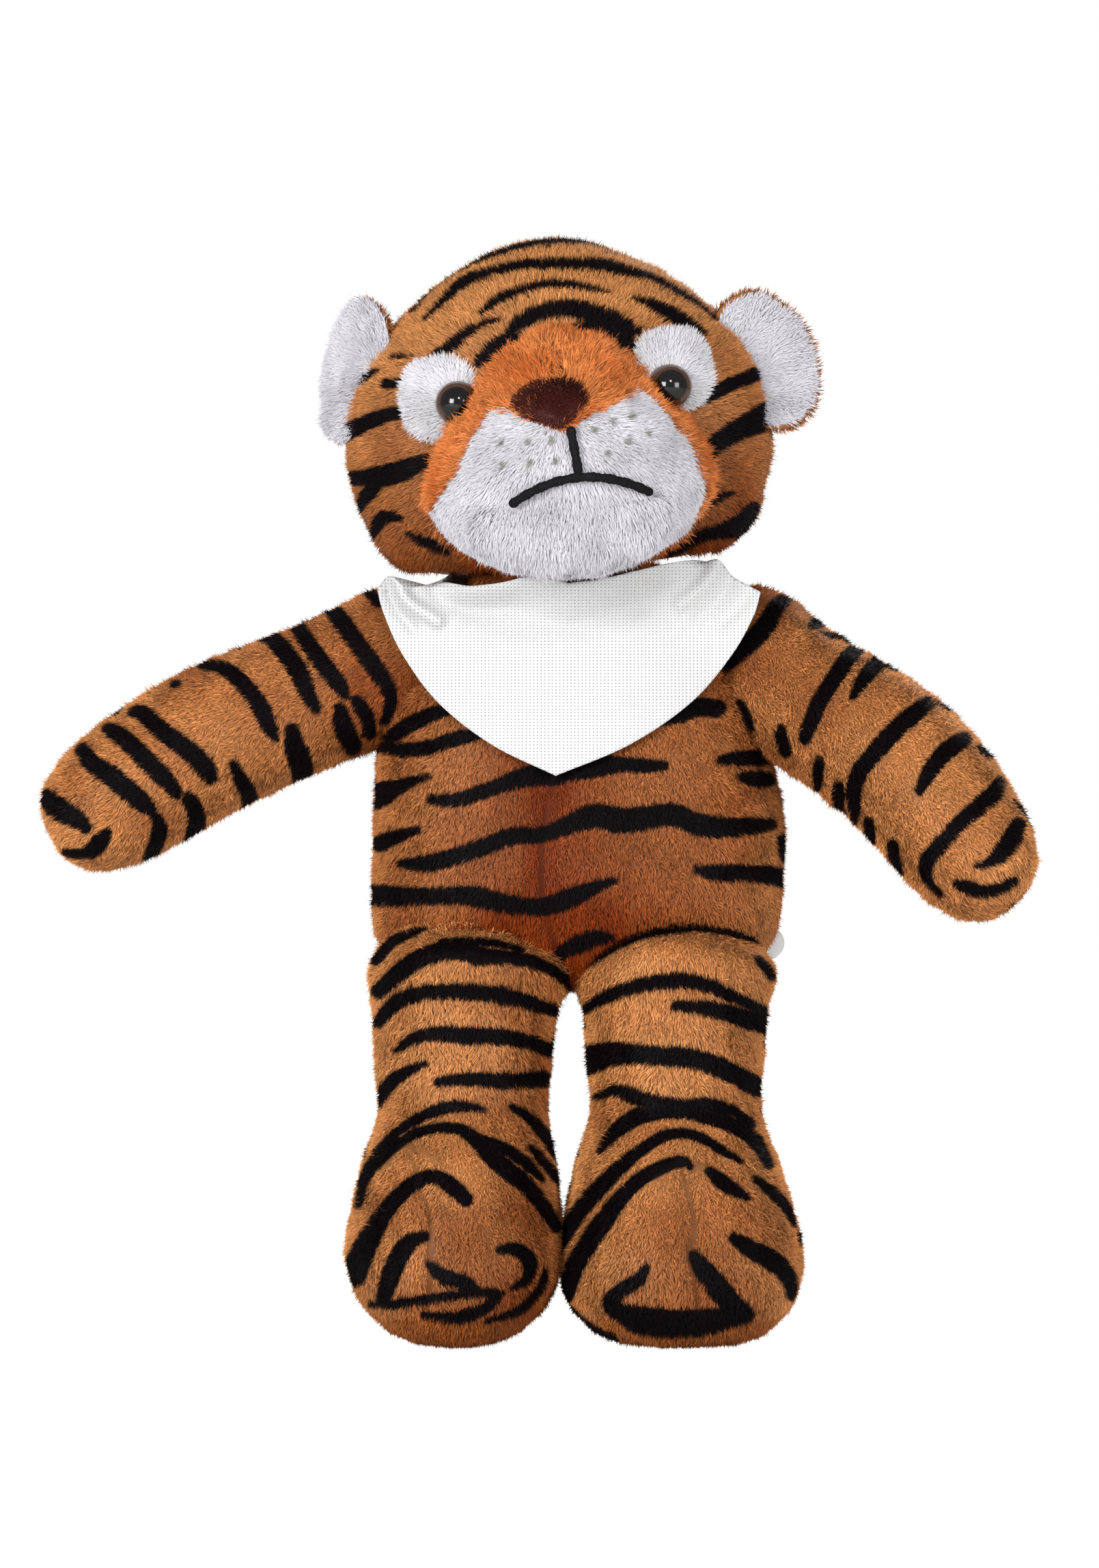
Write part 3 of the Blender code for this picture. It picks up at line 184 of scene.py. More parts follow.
floor_mesh = bpy.data.meshes.new("floor")
corners = [(x * FLOOR_HALF, y * FLOOR_HALF, 0) for x, y in ((-1, -1), (1, -1), (1, 1), (-1, 1))]
floor_mesh.from_pydata(corners, [], [(0, 1, 2, 3)])
floor_mesh.materials.append(floor_material)
floor = bpy.data.objects.new("floor", floor_mesh)
bpy.context.collection.objects.link(floor)
floor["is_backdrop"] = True

for name, place, power, size in LAMPS:
    data = bpy.data.lights.new(name, "AREA")
    data.energy = power
    data.size = size
    lamp = bpy.data.objects.new(name, data)
    lamp.location = place
    lamp.rotation_euler = (CHEST - lamp.location).to_track_quat("-Z", "Y").to_euler()
    bpy.context.collection.objects.link(lamp)
print(len(LAMPS), "square lamps and a sky at strength", SKY_STRENGTH)

# %% [markdown]
# ## Stuffed forms
# A stuffed limb is round because its filling pushes out evenly. Such a form is a stack of
# rounded ovals, and a smooth curve through a few chosen sections gives all the rows between.
# A form keeps its points as a grid: rows run along its axis and columns run round it, with
# column angle 0 at the front and 90 degrees towards the toy's left.

# %% Grids of points
AROUND = 121


def smooth_rows(table, count):
    """Rows of a table read at even steps along a cubic curve that passes through each row."""
    rows = np.array(table, float)
    rows = np.vstack([2 * rows[0] - rows[1], rows, 2 * rows[-1] - rows[-2]])
    place = np.linspace(0, len(table) - 1, count)
    index = np.minimum(place.astype(int), len(table) - 2)
    t = (place - index)[:, None]
    before, start, stop, after = (rows[index + step] for step in range(4))
    return start + t / 2 * (stop - before + t * (2 * before - 5 * start + 4 * stop - after
                                                 + t * (3 * (start - stop) + after - before)))


def signed_power(value, power):
    """The value's size raised to a power, with the value's sign kept."""
    return np.sign(value) * np.abs(value) ** power


def bell(value, middle, width):
    """A bell curve of a value: one at the middle, and 0.37 a width to either side."""
    return np.exp(-((value - middle) / width) ** 2)


def level_ovals(rows, around=AROUND):
    """Row of (z, half width, half depth, x, y, squareness) to level ovals: x runs with the sine
    and y with minus the cosine of the angle from the front, each to the power 2 / squareness."""
    z, width, depth, x, y, square = rows.T[:, :, None]
    angle = np.linspace(-PI, PI, around)[None]
    return np.stack([x + width * signed_power(np.sin(angle), 2 / square),
                     y - depth * signed_power(np.cos(angle), 2 / square),
                     z + 0 * angle], axis=-1)


def unit(vectors):
    """Vectors made one long."""
    return vectors / np.maximum(np.linalg.norm(vectors, axis=-1, keepdims=True), 1e-9)


def grid_normals(points):
    """Outward normals: the cross product of the grid's two directions at each point."""
    ringed = np.concatenate([points[:, -2:-1], points, points[:, 1:2]], axis=1)
    across = np.gradient(ringed, axis=1)[:, 1:-1]
    along = np.gradient(points, axis=0)
    normals = unit(np.cross(across, along))
    outward = ((points - points.mean((0, 1))) * normals).sum()
    return normals * np.sign(outward)


def between(grid, i, j, s, t):
    """Grid values inside the cells at i and j: share s of the way to the next row and share t
    of the way to the next column."""
    return ((1 - s) * ((1 - t) * grid[i, j] + t * grid[i, j + 1])
            + s * ((1 - t) * grid[i + 1, j] + t * grid[i + 1, j + 1]))


class Form:
    """A closed grid of points in millimetres, with each row's level on the form's axis."""

    def __init__(self, points, levels):
        self.points = points
        self.levels = levels
        self.normals = grid_normals(points)

    def drawn_in(self, distance):
        """The same form, a distance inside its surface."""
        return Form(self.points - self.normals * distance, self.levels)

    def faces(self):
        """Four corners of each cell, wound so that the cell faces outwards."""
        rows, columns = self.points.shape[:2]
        row, column = np.meshgrid(np.arange(rows - 1), np.arange(columns - 1), indexing="ij")
        row, column = row.ravel(), column.ravel()
        after = (column + 1) % (columns - 1)
        count = columns - 1
        cells = np.stack([row * count + column, row * count + after,
                          (row + 1) * count + after, (row + 1) * count + column], axis=1)
        flat = self.points[:, :-1].reshape(-1, 3)
        corner = flat[cells]
        facing = np.cross(corner[:, 2] - corner[:, 0], corner[:, 3] - corner[:, 1])
        outward = (facing * self.normals[:, :-1].reshape(-1, 3)[cells[:, 0]]).sum()
        return cells if outward > 0 else cells[:, ::-1]

    def read(self, angle, level):
        """Points at angles in degrees from the front and at levels on the axis."""
        columns = self.points.shape[1] - 1
        column = ((np.asarray(angle) + 180) % 360) / 360 * columns
        rising = self.levels[-1] > self.levels[0]
        levels = self.levels if rising else self.levels[::-1]
        row = np.interp(level, levels, np.arange(len(levels)))
        row = row if rising else len(levels) - 1 - row
        i = np.minimum(row.astype(int), len(levels) - 2)
        j = np.minimum(column.astype(int), columns - 1)
        return between(self.points, i, j, (row - i)[:, None], (column - j)[:, None])


def turn_y(points, angle):
    """Points turned about the Y axis, so that +X goes down by the angle."""
    c, s = np.cos(angle), np.sin(angle)
    return points @ np.array([[c, 0, -s], [0, 1, 0], [s, 0, c]])


def turn_z(points, angle):
    """Points turned about the Z axis, anticlockwise seen from above."""
    c, s = np.cos(angle), np.sin(angle)
    return points @ np.array([[c, s, 0], [-s, c, 0], [0, 0, 1]])


print("grids have", AROUND - 1, "columns round each form")

# %% [markdown]
# ## The body
# The torso is one pear-shaped bag with a short neck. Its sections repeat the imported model's.
# The backing sits a pile's height inside the outline that the eye sees.

# %% Body form
PILE_HEIGHT = 1.5
BODY_BASE, NECK_TOP = 72.0, 161.0
# Shares of the height, half width, half depth and sideways shift, and the squareness.
BODY_SECTIONS = [
    (-0.006, 0.02, 0.02, 0.00, 2.0), (0.000, 0.46, 0.42, 0.00, 2.0),
    (0.045, 0.82, 0.68, 0.01, 2.2), (0.120, 0.97, 0.86, 0.03, 2.5),
    (0.230, 1.00, 0.99, 0.04, 2.6), (0.370, 1.00, 1.00, 0.05, 2.6),
    (0.510, 0.97, 0.97, 0.03, 2.6), (0.640, 0.93, 0.91, 0.02, 2.5),
    (0.750, 0.86, 0.83, 0.01, 2.4), (0.825, 0.74, 0.75, 0.00, 2.2),
    (0.870, 0.52, 0.75, 0.00, 2.0), (0.900, 0.50, 0.72, 0.00, 2.0),
    (0.955, 0.50, 0.72, 0.00, 2.0), (0.990, 0.37, 0.54, 0.00, 2.0),
    (1.000, 0.24, 0.35, 0.00, 2.0), (1.003, 0.01, 0.01, 0.00, 2.0),
]
BODY_HALF_WIDTH, BODY_HALF_DEPTH = 42.0, 29.0
table = [(BODY_BASE + (NECK_TOP - BODY_BASE) * level, BODY_HALF_WIDTH * width,
          BODY_HALF_DEPTH * depth, BODY_HALF_WIDTH * sway, 0.0, square)
         for level, width, depth, sway, square in BODY_SECTIONS]


def bag(table, count, place):
    """Smooth rows of a table of ovals, and their form, a pile's height inside the outline."""
    rows = smooth_rows(table, count)
    return rows, Form(place(level_ovals(rows)), rows[:, 0]).drawn_in(PILE_HEIGHT)


body_rows, body_form = bag(table, 110, lambda points: points + TOY)
print("body", np.ptp(body_form.points.reshape(-1, 3), axis=0).round(1), "mm")

# %% [markdown]
# ## The head, muzzle and chin
# The head is a cap-shaped ball that leans a little to one side. The muzzle is a separate snout
# sewn on it, and the chin a small tuft under the mouth. They share one leaning frame.

# %% Head forms
HEAD_ROLL = np.radians(-5)
HEAD_CENTRE = TOY + (-2.5, -1.0, 190.0)
HEAD_HALF = (43.5, 32.0, 35.2)
# Shares of the half height from the middle, of the half width and half depth, and squareness.
HEAD_SECTIONS = [
    (-0.965, 0.02, 0.02, 2.2), (-0.955, 0.42, 0.46, 2.2), (-0.932, 0.60, 0.64, 2.2),
    (-0.870, 0.755, 0.77, 2.2), (-0.740, 0.875, 0.89, 2.2), (-0.500, 0.955, 0.96, 2.2),
    (-0.200, 1.000, 1.00, 2.2), (0.080, 0.985, 1.00, 2.2), (0.330, 0.895, 0.96, 2.2),
    (0.560, 0.730, 0.84, 2.1), (0.750, 0.545, 0.67, 2.0), (0.890, 0.335, 0.44, 2.0),
    (0.970, 0.165, 0.22, 2.0), (1.000, 0.01, 0.01, 2.0),
]
MUZZLE_TOP, MUZZLE_HEIGHT, MUZZLE_HALF, MUZZLE_REACH = 15.5, 50.0, 29.2, 34.5
MUZZLE_MIDDLE = (1.0, -21.0)
# Shares of the height from the top down, of the half width and of the reach.
MUZZLE_SECTIONS = [
    (-0.010, 0.01, 0.10), (0.00, 0.10, 0.36), (0.06, 0.36, 0.52), (0.16, 0.56, 0.70),
    (0.27, 0.70, 0.86), (0.38, 0.84, 0.95), (0.50, 0.95, 1.00), (0.62, 1.00, 0.99),
    (0.74, 0.95, 0.90), (0.86, 0.78, 0.74), (0.95, 0.52, 0.54), (1.00, 0.26, 0.40),
    (1.012, 0.01, 0.02),
]
CHIN_MIDDLE, CHIN_HALF = (0.8, -43.2, -23.6), (21.5, 8.9, 10.6)


def in_head(points):
    """Points in the head's own frame, taken to the toy's."""
    return turn_y(points, HEAD_ROLL) + HEAD_CENTRE


def from_head(points):
    """The toy's points, taken to the head's own frame."""
    return turn_y(points - HEAD_CENTRE, -HEAD_ROLL)


def front_of(rows, x, z):
    """Y of a form's front at x and z, by its oval's equation at that height."""
    width, depth, middle, y, square = (np.interp(z, rows[:, 0], rows[:, k]) for k in range(1, 6))
    across = np.minimum(np.abs((x - middle) / width), 1)
    return y - depth * (1 - across ** square) ** (1 / square)


table = [(HEAD_HALF[2] * level, HEAD_HALF[0] * width, HEAD_HALF[1] * depth, 0.0, 0.0, square)
         for level, width, depth, square in HEAD_SECTIONS]
head_rows, head_form = bag(table, 110, in_head)
table = [(MUZZLE_TOP - MUZZLE_HEIGHT * level, MUZZLE_HALF * width, MUZZLE_REACH * reach,
          MUZZLE_MIDDLE[0], MUZZLE_MIDDLE[1], 2.0)
         for level, width, reach in MUZZLE_SECTIONS[::-1]]
muzzle_rows, muzzle_form = bag(table, 90, in_head)
fan = np.linspace(-PI / 2, PI / 2, 40)
chin_rows = np.stack([CHIN_MIDDLE[2] + CHIN_HALF[2] * np.sin(fan),
                      CHIN_HALF[0] * np.cos(fan) + 0.02, CHIN_HALF[1] * np.cos(fan) + 0.02,
                      CHIN_MIDDLE[0] + 0 * fan, CHIN_MIDDLE[1] + 0 * fan, 2 + 0 * fan], axis=1)
chin_form = Form(in_head(level_ovals(chin_rows, 61)), chin_rows[:, 0]).drawn_in(PILE_HEIGHT)
print("head", np.ptp(head_form.points.reshape(-1, 3), axis=0).round(1), "mm")

# %% [markdown]
# ## Arms, legs and tail
# A limb's root is a round end inside the body, centred on its joint, so that it can swing. The
# arms are bent sausages along X, turned down and forward into place. A leg is a stack of level
# ovals that slide forward into the foot, and the tail follows a bent line.

# %% Limb forms
SIDES = {"left": 1, "right": -1}
SHOULDERS = {"left": (37.0, -1.5, 139.0), "right": (-35.5, -1.5, 139.0)}
ARM_RADIUS, ARM_LENGTH = 15.4, 79.0
ARM_DROP = {"left": np.radians(37), "right": np.radians(27.0)}
ARM_FORWARD = {"left": np.radians(33), "right": np.radians(2)}
ARM_BOW = {"left": 4.6, "right": 2.4}
# Shares of the length and of the radius.
ARM_SECTIONS = [
    (0.00, 1.00), (0.20, 0.98), (0.45, 1.00), (0.68, 0.99), (0.84, 0.90), (0.94, 0.68),
    (0.985, 0.40), (1.00, 0.01),
]
HIPS = {"left": (21.5, -9.0, 68.0), "right": (-21.4, -9.0, 68.0)}
LEG_HALF = (18.6, 20.0)
FOOT_HALF = {"left": (25.0, 27.0), "right": (22.6, 27.0)}
FOOT_FORWARD, FOOT_OUTWARD = 4.5, {"left": 1.1, "right": 1.8}
THIGH_OUT, THIGH_IN = {"left": 2.6, "right": 1.4}, {"left": 2.6, "right": 4.8}
THIGH_FRONT, FRONT_LEVEL, FRONT_SPREAD = 5.0, 1.20, 0.11
THIGH_LEVEL, THIGH_SPREAD = 1.12, 0.10
SOLE_SEAM = 7.5
FOOT_TUCK, TUCK_LEVEL, ROOT_SHARE = {"left": 0.0, "right": 0.14}, 0.28, 0.35
# Shares of the hip's height, of the width and depth, and of the way from leg to foot.
LEG_SECTIONS = [
    (1.000, 1.00, 1.00, 0.00), (0.860, 0.99, 0.98, 0.00), (0.730, 0.94, 0.93, 0.02),
    (0.650, 0.95, 0.98, 0.14), (0.550, 0.98, 1.02, 0.44), (0.420, 0.98, 1.00, 0.80),
    (0.280, 1.00, 1.00, 1.00), (0.150, 0.95, 0.97, 1.00), (0.060, 0.77, 0.86, 1.00),
    (0.022, 0.60, 0.74, 1.00), (0.003, 0.36, 0.58, 1.00), (0.000, 0.01, 0.01, 1.00),
]
TAIL_ROOT, TAIL_RADIUS = (4.0, 26.5, 93.0), 7.0
TAIL_SIDE, TAIL_BACK, TAIL_DROP, TAIL_SIDE_POWER = 22.0, 16.0, 62.0, 1.1
# Shares of the drop, of the reach backwards and of the radius.
TAIL_SECTIONS = [
    (-0.10, -0.30, 0.01), (-0.07, -0.22, 0.60), (0.00, 0.00, 0.86), (0.12, 0.45, 0.94),
    (0.30, 0.80, 1.00), (0.52, 1.00, 1.00), (0.76, 0.96, 0.98), (0.92, 0.84, 0.84),
    (0.98, 0.78, 0.50), (0.995, 0.76, 0.02),
]


def round_root(radius, power=2.0, count=5):
    """Rows of (distance behind the joint, radius share) for a half ball, or for a boxier end
    where the power is above two."""
    angle = np.linspace(PI / 2, 0, count, endpoint=False)
    return np.stack([-radius * np.sin(angle) ** (2 / power),
                     np.cos(angle) ** (2 / power) + 0.005], axis=1)


def arm_form(side):
    """Circles along X whose middle line rises by the bow times the sine squared."""
    table = [(x / ARM_LENGTH, r) for x, r in round_root(ARM_RADIUS)] + ARM_SECTIONS
    along, share = smooth_rows(table, 120).T[:, :, None]
    radius = ARM_RADIUS * share
    bow = ARM_BOW[side] * np.sin(PI * np.clip(along, 0, 1)) ** 2
    angle = np.linspace(-PI, PI, AROUND)[None]
    points = np.stack([SIDES[side] * ARM_LENGTH * along + 0 * angle, -radius * np.cos(angle),
                       bow + radius * np.sin(angle)], axis=-1)
    points = turn_z(turn_y(points, SIDES[side] * ARM_DROP[side]),
                    -SIDES[side] * ARM_FORWARD[side])
    return Form(points + SHOULDERS[side] + TOY, ARM_LENGTH * along[:, 0])


def leg_form(side):
    """Level ovals whose size and forward shift pass from the leg's to the foot's. The thigh
    swells by a bell curve of the height, each of its sides by its own amount."""
    hip = np.array(HIPS[side])
    roots = [(1 - back / hip[2], share, share, 0)
             for back, share in round_root(LEG_HALF[1], 2.8, 7)]
    rows = smooth_rows(roots + LEG_SECTIONS, 120)[::-1]
    level, wide, deep, foot = rows.T
    wide = np.maximum(wide - FOOT_TUCK[side] * np.clip(1 - level / TUCK_LEVEL, 0, 1), 0.01)
    front = THIGH_FRONT * bell(level, FRONT_LEVEL, FRONT_SPREAD) * (wide > ROOT_SHARE)
    swell = bell(level, THIGH_LEVEL, THIGH_SPREAD) * (wide > ROOT_SHARE)
    outer, inner = THIGH_OUT[side] * swell, THIGH_IN[side] * swell
    table = np.stack([
        hip[2] * level,
        wide * (LEG_HALF[0] + foot * (FOOT_HALF[side][0] - LEG_HALF[0])) + (outer + inner) / 2,
        deep * (LEG_HALF[1] + foot * (FOOT_HALF[side][1] - LEG_HALF[1])) + front / 2,
        hip[0] + SIDES[side] * (foot * FOOT_OUTWARD[side] + (outer - inner) / 2),
        hip[1] - foot * FOOT_FORWARD - front / 2, 2 + 0.3 * foot], axis=1)
    return Form(level_ovals(table) + TOY, table[:, 0])


def tube(middles, radius, around):
    """Circles of the given radii, square to a line of points."""
    ahead = unit(np.gradient(middles, axis=0))
    across = unit(np.array([1.0, 0, 0]) - ahead * ahead[:, :1])
    up = np.cross(ahead, across)
    angle = np.linspace(-PI, PI, around)[None, :, None]
    radius = np.asarray(radius)[:, None, None]
    return (middles[:, None] + radius * np.sin(angle) * across[:, None]
            + radius * np.cos(angle) * up[:, None])


def tail_form():
    """A tube along a line that leaves the back, hangs and drifts to one side."""
    drop, back, share = smooth_rows(TAIL_SECTIONS, 90).T
    middles = np.stack([TAIL_SIDE * np.clip(drop, 0, 1) ** TAIL_SIDE_POWER, TAIL_BACK * back,
                        -TAIL_DROP * drop], axis=1)
    return Form(tube(middles, TAIL_RADIUS * share, 61) + TAIL_ROOT + TOY, TAIL_DROP * drop)


arm_forms = {side: arm_form(side).drawn_in(PILE_HEIGHT) for side in SIDES}
leg_forms = {side: leg_form(side).drawn_in(PILE_HEIGHT) for side in SIDES}
tail_skin_form = tail_form().drawn_in(PILE_HEIGHT)
print("arms end at", [form.points[-1, 0].round(1).tolist() for form in arm_forms.values()])

# %% [markdown]
# ## Printed stripes
# The stripes are printed on the plush before it is cut. Each is a stroke: a run of points with
# a half width, thick in the middle and thin at its ends. Strokes on the front are given as they
# look from the camera, in millimetres across and up, and a form's points are held against them
# where the camera sees those points. Strokes on the sides and the back, which the picture
# doesn't show, are given by the angle round the form and the level on it.

# %% Strokes on the head, seen from the front
HEAD_STRIPES = [
    [(-32.3, 210.1, 0.3), (-27.3, 215.5, 0.4), (-22.3, 219.1, 0.6), (-15.8, 221.6, 0.6),
     (-9.3, 223.6, 0.6), (-2.9, 224.5, 0.6), (3.6, 224.5, 0.6), (8.6, 223.2, 0.4),
     (11.5, 222.1, 0.2)],
    [(-29.8, 208.4, 0.3), (-25.8, 212.3, 0.7), (-21.5, 216.2, 1.1), (-15.8, 218.4, 0.9),
     (-10.1, 219.6, 0.9), (-4.3, 220.0, 1.0), (1.4, 220.0, 1.1), (7.2, 219.6, 1.3),
     (12.2, 218.4, 1.0), (17.2, 217.0, 0.7), (22.2, 214.4, 0.6), (26.5, 211.6, 0.5),
     (30.1, 208.4, 0.3)],
    [(-17.9, 210.1, 0.4), (-15.1, 212.3, 0.9), (-10.8, 214.4, 0.9), (-5.8, 215.7, 0.8),
     (-0.7, 215.9, 0.7), (3.6, 215.3, 0.6), (8.2, 214.2, 0.2)],
    [(-28.4, 200.5, 0.6), (-25.1, 202.6, 1.1), (-21.5, 205.5, 1.1), (-17.9, 207.6, 0.7),
     (-14.0, 208.7, 0.2)],
    [(13.3, 213.0, 0.4), (16.5, 211.9, 1.0), (20.8, 209.8, 1.4), (24.4, 207.6, 1.3),
     (28.0, 205.8, 0.4)],
    [(-36.2, 200.8, 0.3), (-34.5, 201.1, 0.5), (-32.3, 201.1, 0.2)],
    [(-43.6, 195.4, 0.6), (-41.6, 196.9, 0.9), (-39.1, 198.1, 0.3)],
    [(-37.7, 195.4, 0.9), (-35.5, 195.4, 1.1), (-32.7, 196.2, 1.0)],
    [(-45.9, 185.0, 1.6), (-41.6, 187.2, 1.7), (-37.3, 189.0, 1.4), (-34.5, 189.3, 1.3)],
    [(-44.9, 176.1, 1.3), (-40.2, 176.1, 2.0), (-35.2, 177.1, 2.2), (-30.9, 178.9, 1.8),
     (-28.7, 179.7, 1.4)],
    [(-43.1, 169.3, 0.7), (-41.6, 172.1, 1.4), (-39.5, 174.3, 1.4)],
    [(-40.2, 163.9, 0.6), (-39.1, 166.7, 1.4), (-37.3, 168.2, 1.4), (-34.5, 167.8, 0.6)],
    [(-33.0, 164.6, 0.4), (-30.1, 163.2, 1.0), (-27.3, 162.1, 1.3), (-24.8, 160.6, 0.6)],
    [(-18.7, 199.7, 1.0), (-15.8, 201.9, 2.0), (-12.9, 203.7, 2.0), (-9.3, 204.0, 1.0),
     (-6.5, 204.3, 0.4)],
    [(-12.9, 205.5, 0.6), (-9.3, 208.4, 1.6), (-5.0, 210.3, 1.6), (-0.0, 210.9, 1.8),
     (5.0, 209.8, 1.9), (10.0, 208.0, 1.9), (14.0, 206.2, 0.9)],
    [(-3.2, 205.1, 0.9), (1.4, 206.2, 1.6), (6.4, 206.6, 1.9), (10.7, 204.8, 2.2),
     (12.9, 203.0, 1.4)],
    [(25.8, 191.5, 0.7), (28.7, 192.9, 1.3), (33.0, 195.1, 1.4), (38.0, 197.2, 1.4)],
    [(28.0, 181.4, 2.0), (31.6, 184.0, 2.0), (35.9, 186.5, 2.3), (40.5, 188.6, 3.0)],
    [(25.1, 168.5, 0.6), (28.0, 170.7, 1.0), (30.8, 172.1, 0.9), (33.7, 173.0, 0.4)],
    [(16.5, 159.6, 0.4), (22.9, 162.1, 1.3), (27.2, 164.2, 1.3), (31.6, 165.3, 1.6),
     (35.1, 166.4, 2.3), (37.6, 170.0, 1.3)],
]

# %% Strokes on the body
BODY_STRIPES = [
    [(-38.9, 121.6, 1.1), (-35.7, 123.9, 1.3), (-31.6, 126.3, 1.3), (-27.0, 128.3, 1.2),
     (-22.9, 129.5, 0.8)],
    [(-37.5, 121.0, 0.9), (-32.8, 120.7, 1.3), (-28.1, 121.3, 1.2), (-22.9, 123.1, 1.2),
     (-17.0, 124.2, 0.8)],
    [(-39.2, 111.4, 2.5), (-35.7, 112.8, 1.6), (-32.2, 114.3, 0.8), (-28.7, 115.3, 0.4)],
    [(-38.4, 101.7, 1.5), (-35.1, 103.1, 1.1), (-30.8, 104.4, 0.5)],
    [(-28.1, 110.5, 0.7), (-22.9, 110.5, 1.2), (-18.2, 112.0, 1.2), (-13.5, 113.7, 1.3),
     (-8.8, 115.2, 1.8), (-3.0, 116.0, 2.2), (1.7, 116.9, 2.0), (6.4, 117.5, 1.9),
     (11.0, 117.8, 1.3), (15.1, 117.5, 1.2), (19.2, 117.5, 0.8)],
    [(-34.3, 97.5, 0.7), (-28.7, 97.6, 1.5), (-22.9, 99.1, 1.5), (-17.0, 101.1, 1.5),
     (-11.2, 103.2, 1.5), (-5.3, 103.5, 1.3), (-0.1, 105.5, 1.6), (5.2, 107.3, 2.2),
     (9.9, 106.4, 2.3), (15.1, 106.7, 2.2), (21.0, 107.6, 2.0), (25.6, 105.8, 2.0),
     (30.9, 104.9, 1.9), (36.8, 105.2, 1.5), (41.4, 105.6, 0.9)],
    [(-40.7, 91.2, 2.0), (-34.6, 90.9, 1.8), (-27.5, 90.9, 1.5), (-19.9, 90.9, 1.8),
     (-14.7, 89.7, 1.8), (-10.0, 88.9, 1.5), (-4.7, 88.9, 1.6), (0.5, 90.6, 1.8),
     (5.2, 92.7, 1.1), (9.3, 94.1, 0.5)],
    [(26.2, 96.2, 0.7), (30.9, 95.6, 1.5), (35.6, 95.6, 1.5), (40.3, 95.3, 1.6),
     (44.1, 94.7, 1.8)],
    [(15.1, 125.7, 0.7), (18.6, 126.9, 0.9), (22.7, 128.3, 1.8), (26.8, 129.5, 1.6),
     (30.3, 129.2, 1.5)],
    [(30.9, 118.7, 0.7), (34.4, 119.0, 1.2), (39.1, 119.1, 1.6)],
    [(35.0, 115.2, 0.7), (37.9, 114.8, 1.4), (40.4, 114.6, 1.3)],
    [(43.5, 102.6, 0.8), (44.4, 99.1, 1.2)],
    [(-1.8, 79.2, 1.2), (0.5, 80.4, 1.5), (3.4, 81.6, 1.6), (6.4, 82.6, 1.2), (8.7, 82.3, 0.5)],
]

